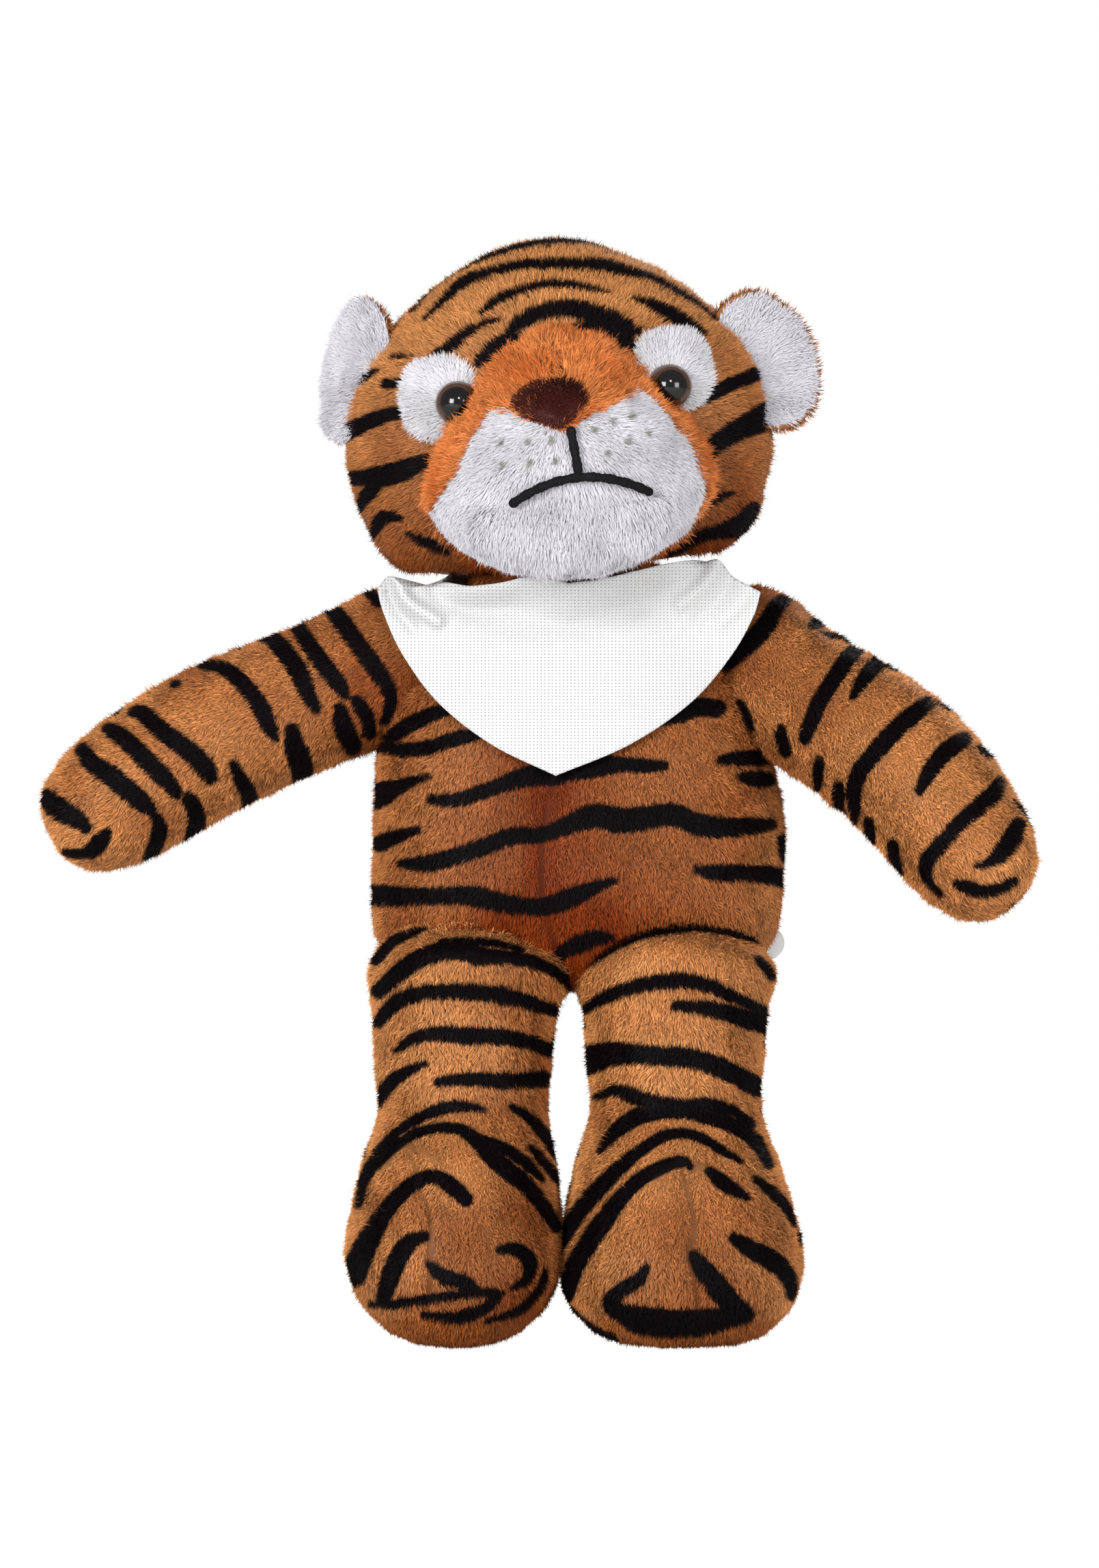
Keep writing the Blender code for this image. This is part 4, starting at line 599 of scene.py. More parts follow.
# %% Strokes on the viewer's left leg
RLEG_STRIPES = [
    [(-39.5, 78.5, 1.4), (-36.3, 81.7, 1.1), (-32.4, 83.6, 0.8), (-29.3, 84.6, 0.3)],
    [(-38.8, 71.5, 1.4), (-35.0, 75.0, 1.7), (-30.5, 78.2, 1.8), (-25.4, 79.8, 1.9),
     (-20.3, 79.5, 1.8), (-18.4, 78.8, 1.9), (-13.3, 78.5, 1.4), (-8.2, 77.9, 1.3),
     (-3.1, 75.7, 1.1), (0.7, 72.5, 1.0)],
    [(-25.4, 81.1, 1.3), (-20.3, 81.7, 0.9), (-14.6, 81.4, 0.6), (-9.5, 80.1, 0.4)],
    [(-38.8, 65.4, 1.1), (-35.6, 69.0, 1.4), (-31.2, 70.9, 1.4), (-25.4, 71.5, 1.4),
     (-19.7, 71.4, 1.5), (-13.3, 70.6, 1.6), (-8.2, 69.3, 1.4), (-3.1, 67.7, 1.1)],
    [(-35.3, 59.5, 0.5), (-31.8, 61.9, 1.1), (-26.7, 62.9, 1.4), (-20.3, 62.5, 1.6),
     (-14.0, 62.3, 1.5), (-8.2, 61.3, 1.4), (-4.1, 59.7, 1.4)],
    [(-39.1, 49.2, 1.1), (-36.3, 53.0, 1.3), (-33.1, 55.2, 1.0), (-29.3, 56.8, 0.5)],
    [(-26.7, 53.1, 0.8), (-21.6, 53.7, 1.1), (-15.9, 53.5, 1.4), (-10.8, 53.3, 1.5),
     (-5.0, 53.7, 1.5)],
    [(-42.7, 32.6, 0.5), (-40.1, 37.7, 0.7), (-36.9, 41.2, 0.8), (-33.1, 44.4, 0.9),
     (-28.0, 47.0, 1.0), (-23.5, 48.2, 1.0), (-20.3, 48.0, 0.8), (-17.1, 47.6, 0.4)],
    [(-43.0, 28.1, 0.6), (-41.4, 33.9, 0.9), (-37.5, 38.3, 0.9), (-32.4, 42.2, 0.9),
     (-27.3, 43.8, 0.9), (-22.2, 43.6, 1.0), (-19.1, 41.5, 1.4), (-15.9, 38.3, 1.7),
     (-12.0, 34.8, 1.7), (-8.2, 31.7, 1.5), (-4.4, 26.9, 1.3), (-2.5, 23.7, 1.0)],
    [(-20.3, 42.5, 0.6), (-14.6, 40.4, 1.0), (-10.8, 38.3, 1.1), (-7.6, 35.8, 0.9),
     (-5.3, 33.2, 0.4)],
    [(-11.7, 48.2, 0.5), (-8.2, 46.0, 0.9), (-5.0, 42.8, 1.1), (-2.5, 39.0, 1.1),
     (-0.2, 35.8, 0.9)],
    [(-7.6, 39.9, 0.5), (-5.0, 37.1, 0.9), (-2.5, 33.9, 0.8), (-0.6, 31.3, 0.6)],
    [(-43.9, 14.1, 2.6), (-41.4, 19.9, 2.2), (-38.2, 25.6, 1.7), (-35.0, 29.7, 1.5),
     (-31.2, 32.9, 1.4), (-27.3, 33.9, 1.3), (-24.2, 32.3, 1.5), (-21.0, 29.4, 1.4)],
    [(-37.8, 8.7, 1.3), (-36.4, 13.6, 1.8), (-34.6, 17.6, 1.9), (-32.4, 20.6, 1.5),
     (-29.3, 21.8, 0.9)],
    [(-28.6, 16.4, 0.6), (-25.7, 13.6, 1.4), (-22.1, 12.5, 1.6), (-19.3, 10.9, 1.2)],
    [(-14.1, 19.0, 0.7), (-11.0, 19.2, 1.2), (-8.3, 17.4, 1.4), (-7.7, 15.0, 1.2),
     (-8.9, 12.5, 0.8), (-11.9, 11.1, 0.3)],
    [(-40.4, 7.8, 0.4), (-35.5, 7.9, 0.9), (-28.4, 9.0, 0.8), (-21.3, 9.9, 0.9),
     (-15.0, 10.2, 0.8)],
    [(-29.4, 5.6, 0.6), (-23.0, 5.1, 1.2), (-18.6, 6.3, 1.1), (-15.4, 8.3, 0.9),
     (-13.5, 10.2, 0.5)],
    [(-16.8, 4.2, 0.4), (-10.5, 6.5, 0.8), (-6.1, 10.5, 0.8), (-4.7, 14.5, 0.6)],
]

# %% Strokes on the viewer's right leg
LLEG_STRIPES = [
    [(-3.1, 77.9, 0.9), (2.0, 80.4, 1.3), (5.8, 82.7, 1.3), (8.7, 82.0, 0.8)],
    [(2.0, 76.6, 0.9), (5.8, 79.2, 1.1), (10.3, 82.0, 1.3), (14.7, 83.9, 1.4), (19.8, 84.9, 1.4),
     (25.6, 85.4, 1.3), (30.7, 85.0, 1.4), (36.4, 83.9, 1.7), (42.8, 82.0, 1.7)],
    [(3.3, 68.0, 0.8), (7.1, 70.2, 1.1), (12.2, 72.1, 1.3), (17.9, 73.4, 1.4), (23.7, 73.7, 1.4),
     (28.8, 72.5, 1.3), (33.9, 70.2, 1.0), (39.6, 67.7, 0.9)],
    [(21.8, 68.6, 0.9), (26.2, 68.3, 1.3), (31.3, 67.4, 1.5), (35.8, 66.1, 1.8),
     (39.9, 65.1, 2.0)],
    [(38.7, 78.2, 0.6), (40.2, 76.6, 0.9), (41.2, 74.7, 0.8)],
    [(3.3, 57.5, 2.9), (8.4, 58.8, 2.4), (13.5, 58.8, 1.9), (18.6, 58.4, 1.8), (23.7, 58.1, 1.9),
     (28.8, 56.8, 1.9), (33.2, 54.9, 1.8), (38.3, 52.1, 1.9)],
    [(5.5, 50.1, 0.6), (9.6, 51.4, 1.1), (13.5, 50.1, 1.4), (17.9, 48.9, 1.3), (23.0, 47.9, 1.6),
     (27.5, 48.6, 1.3), (32.6, 47.6, 1.0), (37.1, 44.7, 0.9)],
    [(6.1, 39.3, 0.5), (9.0, 42.8, 1.3), (13.5, 46.0, 1.6), (18.6, 47.3, 1.6), (24.3, 47.6, 1.8),
     (29.4, 46.0, 1.6), (34.5, 43.8, 1.4), (38.3, 40.9, 1.3), (40.9, 36.4, 0.8)],
    [(-3.1, 17.9, 0.9), (-0.6, 22.4, 1.3), (2.0, 26.9, 1.6), (5.8, 31.3, 1.6), (9.6, 35.2, 1.4),
     (14.1, 39.0, 1.1), (18.6, 41.9, 1.0), (22.4, 42.8, 0.9), (26.9, 41.9, 0.9),
     (30.7, 39.6, 0.8), (35.1, 37.1, 0.4)],
    [(-0.6, 9.7, 1.4), (0.7, 14.8, 1.8), (3.9, 20.5, 1.9), (7.1, 25.0, 1.8), (10.3, 29.4, 1.5),
     (14.1, 33.2, 1.3), (18.6, 35.8, 1.3), (23.0, 37.1, 1.0), (24.9, 35.8, 0.5)],
    [(28.5, 35.2, 0.8), (32.0, 32.3, 1.4), (36.4, 29.7, 0.6)],
    [(38.0, 33.6, 0.6), (40.9, 31.3, 1.0), (44.1, 28.1, 0.9), (46.0, 24.3, 0.5)],
    [(33.6, 21.4, 1.0), (37.1, 19.2, 1.7), (41.5, 16.7, 1.9), (44.7, 13.5, 1.6),
     (45.4, 9.7, 0.9)],
    [(25.3, 17.9, 1.0), (27.5, 14.8, 1.9), (30.0, 11.6, 2.2), (33.2, 7.7, 2.2), (35.8, 5.8, 1.8)],
    [(15.7, 15.4, 0.6), (14.1, 12.8, 1.3), (10.9, 10.9, 1.4), (8.4, 8.4, 1.6), (9.6, 6.5, 1.6)],
    [(9.6, 6.5, 1.3), (14.7, 4.5, 2.7), (21.1, 3.9, 2.8), (27.5, 4.2, 2.6), (34.5, 5.5, 1.8)],
    [(-0.6, 6.5, 1.4), (3.3, 2.6, 1.8), (8.4, 0.1, 1.5)],
]

# %% Strokes on the viewer's left arm
RARM_STRIPES = [
    [(-40.8, 153.0, 0.8), (-39.0, 151.0, 0.8)],
    [(-48.7, 149.9, 1.2), (-46.4, 147.1, 1.4), (-43.9, 143.5, 1.4), (-41.3, 139.9, 1.5),
     (-38.7, 136.3, 1.4), (-36.7, 132.7, 1.1), (-36.4, 129.6, 0.9), (-37.4, 126.6, 0.7)],
    [(-56.4, 147.4, 0.9), (-54.1, 144.0, 1.2), (-51.6, 140.4, 1.3), (-49.0, 136.8, 1.4),
     (-46.7, 133.8, 1.2), (-45.4, 131.7, 0.5)],
    [(-46.7, 129.1, 0.9), (-45.9, 125.5, 1.7), (-44.1, 121.4, 1.5)],
    [(-43.3, 130.7, 0.9), (-41.3, 127.6, 1.2), (-40.8, 124.0, 1.0)],
    [(-62.9, 144.5, 0.9), (-60.3, 143.5, 1.3), (-57.7, 140.4, 1.5), (-55.2, 136.8, 1.6),
     (-53.4, 132.7, 1.3), (-51.6, 129.1, 0.7)],
    [(-74.7, 138.1, 0.5), (-71.6, 137.9, 0.9), (-68.5, 136.3, 1.2), (-65.4, 133.2, 1.3),
     (-62.9, 129.6, 1.4), (-61.3, 126.0, 1.2), (-60.0, 123.0, 0.5)],
    [(-56.4, 124.8, 1.0), (-55.7, 120.9, 1.8), (-54.4, 117.3, 2.0), (-54.9, 114.2, 1.1)],
    [(-80.6, 134.2, 0.4), (-79.8, 134.5, 0.3)],
    [(-89.1, 128.6, 0.6), (-87.0, 128.4, 1.2), (-83.9, 125.5, 1.4), (-80.3, 122.7, 1.5),
     (-76.7, 119.9, 1.6), (-74.2, 117.3, 1.7), (-72.9, 115.0, 1.1)],
    [(-68.3, 117.6, 0.6), (-66.5, 114.2, 1.2), (-64.9, 110.6, 1.3), (-65.7, 107.3, 0.9)],
    [(-93.7, 125.0, 1.0), (-91.1, 123.5, 1.4), (-88.0, 120.7, 1.5), (-85.0, 117.6, 1.5),
     (-81.9, 114.5, 1.4), (-79.8, 111.9, 0.8)],
    [(-77.3, 110.6, 1.1), (-76.0, 108.1, 1.4), (-76.0, 104.5, 1.4), (-77.5, 100.9, 0.9)],
    [(-99.1, 120.7, 1.1), (-96.8, 117.8, 1.5), (-93.7, 115.8, 1.7), (-90.6, 113.2, 1.7),
     (-87.5, 110.6, 1.7), (-85.2, 108.6, 0.9)],
    [(-84.2, 107.0, 0.8), (-83.2, 105.0, 1.1), (-83.9, 101.9, 1.2), (-85.5, 98.6, 0.8)],
    [(-106.5, 111.1, 1.3), (-104.0, 108.8, 2.0), (-100.9, 107.0, 1.6), (-98.3, 105.0, 0.9)],
    [(-102.4, 99.8, 0.5), (-99.3, 99.6, 0.7), (-96.8, 100.4, 1.3), (-95.2, 102.4, 1.3),
     (-94.0, 104.0, 0.5)],
]

# %% Strokes on the viewer's right arm
LARM_STRIPES = [
    [(44.1, 151.6, 1.1), (42.2, 149.9, 1.4), (40.3, 146.5, 1.7), (37.9, 143.7, 1.7),
     (35.1, 140.8, 1.4), (32.2, 138.4, 1.2), (28.8, 134.6, 0.8)],
    [(49.4, 146.3, 0.4), (50.8, 147.0, 1.2), (52.5, 146.9, 0.4)],
    [(59.9, 142.5, 1.1), (57.5, 140.3, 1.4), (55.1, 137.0, 1.5), (52.8, 133.6, 1.4),
     (50.8, 130.3, 1.4), (49.2, 126.4, 1.3), (48.0, 123.1, 1.1)],
    [(63.3, 138.9, 1.5), (61.4, 137.0, 1.3), (59.5, 134.6, 1.1), (57.8, 131.7, 0.5)],
    [(73.1, 130.3, 1.2), (70.5, 128.4, 1.6), (67.1, 125.5, 1.6), (63.8, 122.1, 1.6),
     (61.4, 119.3, 1.5), (59.2, 116.4, 1.5), (58.0, 113.1, 1.4), (58.0, 109.2, 1.1),
     (58.1, 105.9, 0.5)],
    [(80.5, 122.9, 1.3), (77.6, 121.2, 1.6), (75.2, 118.8, 1.5), (73.1, 115.9, 1.3),
     (71.2, 112.3, 0.6)],
    [(87.7, 114.0, 1.1), (86.2, 111.6, 1.6), (83.4, 109.2, 1.5), (80.0, 106.4, 1.3),
     (77.1, 103.0, 1.3), (74.3, 100.1, 1.4), (72.6, 97.3, 1.3), (73.1, 93.9, 0.7),
     (75.7, 91.1, 0.4)],
    [(91.5, 105.4, 1.4), (90.1, 102.5, 1.8), (88.1, 99.7, 1.6), (85.3, 97.7, 0.7),
     (82.9, 97.0, 0.2)],
    [(79.1, 93.4, 0.7), (81.0, 92.7, 1.2), (84.3, 91.8, 1.1), (87.7, 92.5, 1.0),
     (90.5, 93.9, 0.8)],
    [(34.6, 130.3, 0.6), (35.3, 128.4, 1.1), (37.0, 125.0, 0.5)],
    [(43.2, 125.2, 0.5), (43.2, 123.1, 1.1), (44.1, 120.2, 0.9)],
    [(51.1, 118.6, 0.7), (50.6, 116.4, 0.9), (50.6, 113.1, 0.6)],
    [(54.9, 113.1, 1.0), (54.7, 110.2, 1.0), (55.6, 107.3, 0.6)],
    [(60.9, 105.9, 0.9), (61.1, 103.5, 0.9), (61.4, 101.1, 0.5)],
    [(65.9, 101.3, 1.0), (66.1, 98.7, 0.9), (67.3, 95.4, 0.5)],
]

# %% Strokes on the sides and back
# Each point is an angle in degrees from the front, a level and a half width.
HEAD_BACK = [
    [(88, -8, 2), (110, -10, 2.6), (140, -6, 2.4), (165, -8, 1)],
    [(95, -20, 1), (120, -22, 2.4), (150, -19, 2.6), (190, -22, 2.6), (215, -20, 1)],
    [(86, 8, 2), (115, 4, 2.6), (150, 6, 2.6), (180, 3, 2.4), (205, 5, 1)],
    [(215, -8, 1), (235, -6, 2.6), (262, -8, 2.2)], [(215, 12, 1), (240, 8, 2.4), (268, 6, 1.5)],
    [(120, 19, 1), (160, 17, 2.4), (200, 18, 2.4), (240, 17, 1.2)],
    [(235, -22, 1), (255, -21, 2.4), (275, -19, 1.4)], [(140, 28, 1), (180, 27, 2), (220, 28, 1)],
]
BODY_BACK = [
    [(100, 136, 1), (130, 139, 2.5), (160, 137, 2.8), (185, 140, 2.3), (215, 137, 1)],
    [(150, 127, 1), (180, 130, 2.5), (210, 128, 3), (240, 131, 2.5), (268, 128, 1.5)],
    [(92, 124, 1.5), (115, 121, 2.8), (140, 122, 1)], [(250, 116, 1), (272, 114, 2)],
    [(95, 112, 1), (120, 114, 2.5), (150, 111, 3), (180, 114, 2.8), (205, 112, 1)],
    [(195, 104, 1), (220, 106, 2.6), (245, 103, 3), (268, 105, 1.2)],
    [(88, 100, 1.5), (125, 98, 2.8), (150, 100, 1)],
    [(120, 88, 1), (150, 90, 2.5), (180, 87, 3), (215, 90, 2.6), (262, 89, 2)],
]
LEG_BACK = [
    [(100, 73, 1), (140, 75, 2.2), (185, 73, 2.2), (225, 76, 1)],
    [(85, 62, 2), (120, 60, 2.4), (160, 63, 2.2), (185, 61, 1)],
    [(190, 66, 1), (230, 68, 2.4), (272, 65, 1.6)], [(150, 51, 1), (190, 53, 2.4), (240, 50, 2)],
    [(88, 48, 1.8), (110, 49, 2.2), (135, 47, 1)], [(240, 41, 1), (262, 40, 2), (278, 38, 1)],
    [(95, 36, 1), (130, 39, 2.4), (175, 37, 2.4), (215, 40, 1)],
    [(185, 25, 1), (220, 27, 2.4), (262, 24, 2)], [(85, 22, 2), (120, 24, 2.4), (160, 21, 1)],
]
ARM_BACK = [
    [(90, 12, 2), (130, 14, 2.4), (175, 11, 2.4), (215, 14, 1)],
    [(88, 27, 1.6), (125, 25, 2.4), (165, 28, 1)], [(200, 24, 1), (235, 27, 2.4), (268, 25, 2)],
    [(95, 40, 1.6), (140, 42, 2.6), (190, 39, 2.4), (225, 41, 1)],
    [(88, 55, 2), (125, 53, 2.4), (160, 55, 1)], [(190, 52, 1), (230, 55, 2.4), (270, 53, 2)],
    [(95, 67, 2), (140, 69, 2.4), (185, 66, 2), (240, 69, 1)],
]
TAIL_RINGS = [
    [(0, 14, 2), (90, 15, 2), (180, 14, 2), (270, 13, 1)],
    [(60, 26, 1), (150, 27, 2), (240, 26, 2), (330, 25, 1.5)],
    [(200, 38, 1), (290, 37, 2), (20, 38, 2), (110, 39, 1.5)],
    [(0, 50, 3), (90, 51, 3), (180, 50, 3), (270, 51, 3), (360, 50, 3)],
    [(0, 58, 4), (90, 58, 4), (180, 58, 4), (270, 58, 4), (360, 58, 4)],
]
EAR_BACK = [[(60, 0.8, 2), (110, 0.9, 1.5)], [(200, 0.5, 2), (260, 0.8, 2), (300, 0.9, 1)]]
STEP = 1.2  # millimetres between the points of a stroke that is read more finely


def even_run(stroke):
    """A stroke read more finely, on a smooth curve through its points."""
    stroke = np.array(stroke, float)
    spans = np.linalg.norm(np.diff(stroke[:, :2], axis=0), axis=1)
    return smooth_rows(stroke, max(int(spans.sum() / STEP), len(stroke)))


def in_picture(points):
    """Where the camera sees points: across and up, in millimetres at the toy's middle plane."""
    local, eye = points - TOY, camera_place - TOY
    share = eye[1] / (eye[1] - local[:, 1])
    return eye[[0, 2]] + (local[:, [0, 2]] - eye[[0, 2]]) * share[:, None]


def wrapped_on(form, strokes):
    """Strokes given by angle and level, taken to a form's surface."""
    found = []
    for stroke in strokes:
        angle, level, half = smooth_rows(stroke, 5 * len(stroke)).T
        found.append(np.column_stack([form.read(angle, level), half]))
    return found


# How far from a stripe distances are told apart, and the facing share below which the strokes of
# the sides and back count.
REACH, WRAPPED_FACING = 5.0, 0.35


def stripe_distance(points, strokes):
    """Distance in millimetres past the edge of the nearest stroke, below zero inside it: the
    distance to the nearest place on the stroke's line, less the half width there."""
    nearest = np.full(len(points), REACH)
    for stroke in strokes:
        low, high = stroke[:, :-1].min(0) - REACH, stroke[:, :-1].max(0) + REACH
        close = np.nonzero(((points > low) & (points < high)).all(1))[0]
        for start, stop in zip(stroke, stroke[1:]):
            along = stop[:-1] - start[:-1]
            offset = points[close] - start[:-1]
            t = np.clip(offset @ along / max(along @ along, 1e-9), 0, 1)
            gap = np.linalg.norm(offset - t[:, None] * along, axis=1)
            gap -= start[-1] + t * (stop[-1] - start[-1])
            nearest[close] = np.minimum(nearest[close], gap)
    return nearest


def printed(points, normals, print_on):
    """Distance to the nearest stripe. Strokes of the picture count where the surface faces the
    camera, and the others where they lie on it."""
    if print_on is None:
        return np.full(len(points), REACH)
    seen, wrapped = print_on
    facing = (normals * unit(camera_place - points)).sum(1)
    front = np.where(facing > 0, stripe_distance(in_picture(points), seen), REACH)
    behind = np.where(facing < WRAPPED_FACING, stripe_distance(points, wrapped), REACH)
    return np.minimum(front, behind)


SEAM_REACH = 0.8
# Seams as the camera sees them: across and up. The third value, the half width, is zero.
BELLY_SEAM = [(-3.2, 116, 0), (-5.0, 106, 0), (-5.6, 98, 0), (-5.0, 90, 0), (-3.2, 83, 0),
              (-1.0, 76, 0)]
FOOT_SEAMS = {"left": [(22.6, 37.5, 0), (25.3, 26, 0), (24.6, 18.5, 0), (26.4, 8, 0)],
              "right": [(-33, 41, 0), (-30.5, 34, 0), (-28.2, 26, 0), (-28.2, 15, 0),
                        (-29, 8, 0)]}
INSTEP_SEAMS = {"left": [(17.6, 34, 0), (22.6, 37.5, 0), (28, 35.5, 0)],
                "right": [(-37, 36.5, 0), (-33, 41, 0), (-26.5, 37.5, 0)]}


def seam_share(points, lines, reach=SEAM_REACH):
    """How deep in a seam points lie, from zero to one: a bell curve of the distance from the
    nearest line, as the camera sees it."""
    gap = stripe_distance(in_picture(points), [even_run(line) for line in lines])
    return bell(gap, 0, reach)


def prints(form, seen, wrapped, spread=0.4):
    """A form's stripes: those of the picture, read finely, and those on its sides and back. The
    leaning pile spreads the former by a little on each side."""
    return [even_run(stroke) + [0, 0, spread] for stroke in seen], wrapped_on(form, wrapped)


body_print = prints(body_form, BODY_STRIPES, BODY_BACK)
head_print = prints(head_form, HEAD_STRIPES, HEAD_BACK, spread=0.15)
arm_print = {"left": prints(arm_forms["left"], LARM_STRIPES, ARM_BACK),
             "right": prints(arm_forms["right"], RARM_STRIPES, ARM_BACK, spread=0.55)}
leg_print = {"left": prints(leg_forms["left"], LLEG_STRIPES, LEG_BACK, spread=0.3),
             "right": prints(leg_forms["right"], RLEG_STRIPES, LEG_BACK, spread=0.3)}
tail_print = prints(tail_skin_form, [], TAIL_RINGS)
print(len(BODY_STRIPES), "stripes on the belly,", len(HEAD_STRIPES), "on the face")

# %% [markdown]
# ## From arrays to meshes
# A mesh is three flat lists: points, the corners of all faces, and where each face starts.
# foreach_set fills them from numpy arrays at once. Values that a material needs, such as the
# distance to a stripe, go with the points as attributes.

# %% Mesh makers
# What a backing's points carry as place from root to tip, so that it takes the root's painted
# shade, and as own shade; and how deep and how wide the painted shade in a seam's crease is.
BACKING_TIP, BACKING_SHADE, SEAM_SHADE, SEAM_WIDTH = 0.35, 0.95, 0.5, 1.2
WAVES = 7


def mesh_of(name, points, faces, values, normals=None):
    """A mesh from points in millimetres, equal-sided faces and point attributes, and its own
    normals where they are given."""
    mesh = bpy.data.meshes.new(name)
    count, sides = faces.shape
    mesh.vertices.add(len(points))
    mesh.vertices.foreach_set("co", (points * MM).astype(np.float32).ravel())
    mesh.loops.add(count * sides)
    mesh.loops.foreach_set("vertex_index", faces.astype(np.int32).ravel())
    mesh.polygons.add(count)
    mesh.polygons.foreach_set("loop_start", np.arange(0, count * sides, sides, dtype=np.int32))
    mesh.update(calc_edges=True)
    for key, value in values.items():
        attribute = mesh.attributes.new(key, "FLOAT", "POINT")
        attribute.data.foreach_set("value", value.astype(np.float32))
    mesh.shade_smooth()
    if normals is not None:
        attribute = mesh.attributes.new("custom_normal", "FLOAT_VECTOR", "POINT")
        attribute.data.foreach_set("vector", normals.astype(np.float32).ravel())
    return mesh


def piece(name, mesh, material, body, nodes=()):
    """An object with its material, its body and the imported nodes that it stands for."""
    made = bpy.data.objects.new(name, mesh)
    made.data.materials.append(material)
    bpy.context.collection.objects.link(made)
    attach(made, body)
    if nodes:
        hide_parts(*nodes)
    return made


def thickened(made, name, thickness, offset):
    """Gives a sheet its thickness in millimetres, to one side or to both."""
    wall = made.modifiers.new(name, "SOLIDIFY")
    wall.thickness = thickness * MM
    wall.offset = offset


def skin(name, form, print_on, material, body, nodes=(), deep=None, seams=()):
    """A form's closed surface, with stripe and depth of colour, mostly painted shade, at each
    point, and painted shade in the crease of seams.
    """
    flat = form.points[:, :-1].reshape(-1, 3)
    normals = form.normals[:, :-1].reshape(-1, 3)
    shade = deep(flat) if deep else np.zeros(len(flat))
    values = {"stripe": printed(flat, normals, print_on), "deep": shade,
              "tip": np.full(len(flat), BACKING_TIP),
              "shade": np.full(len(flat), BACKING_SHADE)}
    if seams:
        values["shade"] *= 1 - SEAM_SHADE * seam_share(flat, seams, SEAM_WIDTH)
    faces = form.faces()
    mesh = mesh_of(name, flat, faces, values)
    return piece(name, close_ends(mesh), material, body, nodes)


def close_ends(mesh):
    """Fills the small ring at each end of a form with a face."""
    work = bmesh.new()
    work.from_mesh(mesh)
    open_edges = [edge for edge in work.edges if edge.is_boundary]
    bmesh.ops.holes_fill(work, edges=open_edges, sides=0)
    work.to_mesh(mesh)
    work.free()
    return mesh


def wave(points, size, seed):
    """Smooth noise of about one: half the sum of some sine waves in random directions."""
    draw = np.random.default_rng(seed)
    total = np.zeros(len(points))
    for _ in range(WAVES):
        direction = unit(draw.normal(size=3)) * 2 * PI / size * draw.uniform(0.6, 1.5)
        total += np.sin(points @ direction + draw.uniform(0, 2 * PI))
    return total / 2


print("mesh makers ready")

# %% [markdown]
# ## Pile
# Plush pile is combed one way and stands in small tufts. Each strand here is two triangles: a
# root, two side points half way along and a tip that leans over more than the root does. Roots
# are drawn evenly over the surface by area. A strand's comb direction, its tuft's lean and its
# own small turn add up to the way it points. It takes its dye from where its upper half lies,
# so that a stripe keeps its drawn edge. Where the form faces back, fewer and wider strands do.

# %% Strands
MOST_STRANDS = 95000
# How far a normal turns back before its strand counts as rear, and how much wider that one is.
REAR_FACING, REAR_WIDTH = 0.12, 1.55
# Millimetres: how deep a root starts, how deep a seam pulls it, and the gap left to the floor.
ROOT_DEPTH, SEAM_DEPTH, FLOOR_GAP = 0.3, 0.9, 0.05
# Shares of the lean: in a strand's lower half, in its upper half, and for one that stands.
LEAN_LOW, LEAN_HIGH, LEAN_UPRIGHT = 0.7, 1.35, 0.25
# Shares: how loose the lower half is, how far lengths and turns spread, and how far widths do.
LOOSE_LOW, LENGTH_SPREAD, TURN_SPREAD, WIDTH_RANGE = 0.6, 0.18, 0.25, (0.75, 1.25)
# Shares that a seam takes from a strand's length, and from its brightness as painted shade in the
# seam's crease.
SEAM_SHORT, SEAM_CREASE_SHADE = 0.3, 0.4
# Where between middle and tip the dye is read, and millimetres that it strays at a stripe.
DYED_MIDDLE, DYED_TIP, DYE_STRAY = 0.45, 0.55, 0.12
# How far a surface faces the camera: below the first share the flat side of a strand turns
# part way to the camera, and above the second the camera tells which side is its front.
SIDE_FACING, FRONT_FACING = 0.5, 0.4
# How much of its own facing a strand's normal has, and the direction that wrap turns it to.
OWN_NORMAL, TO_FRONT = 0.7, np.array([0, -1, 0.2])


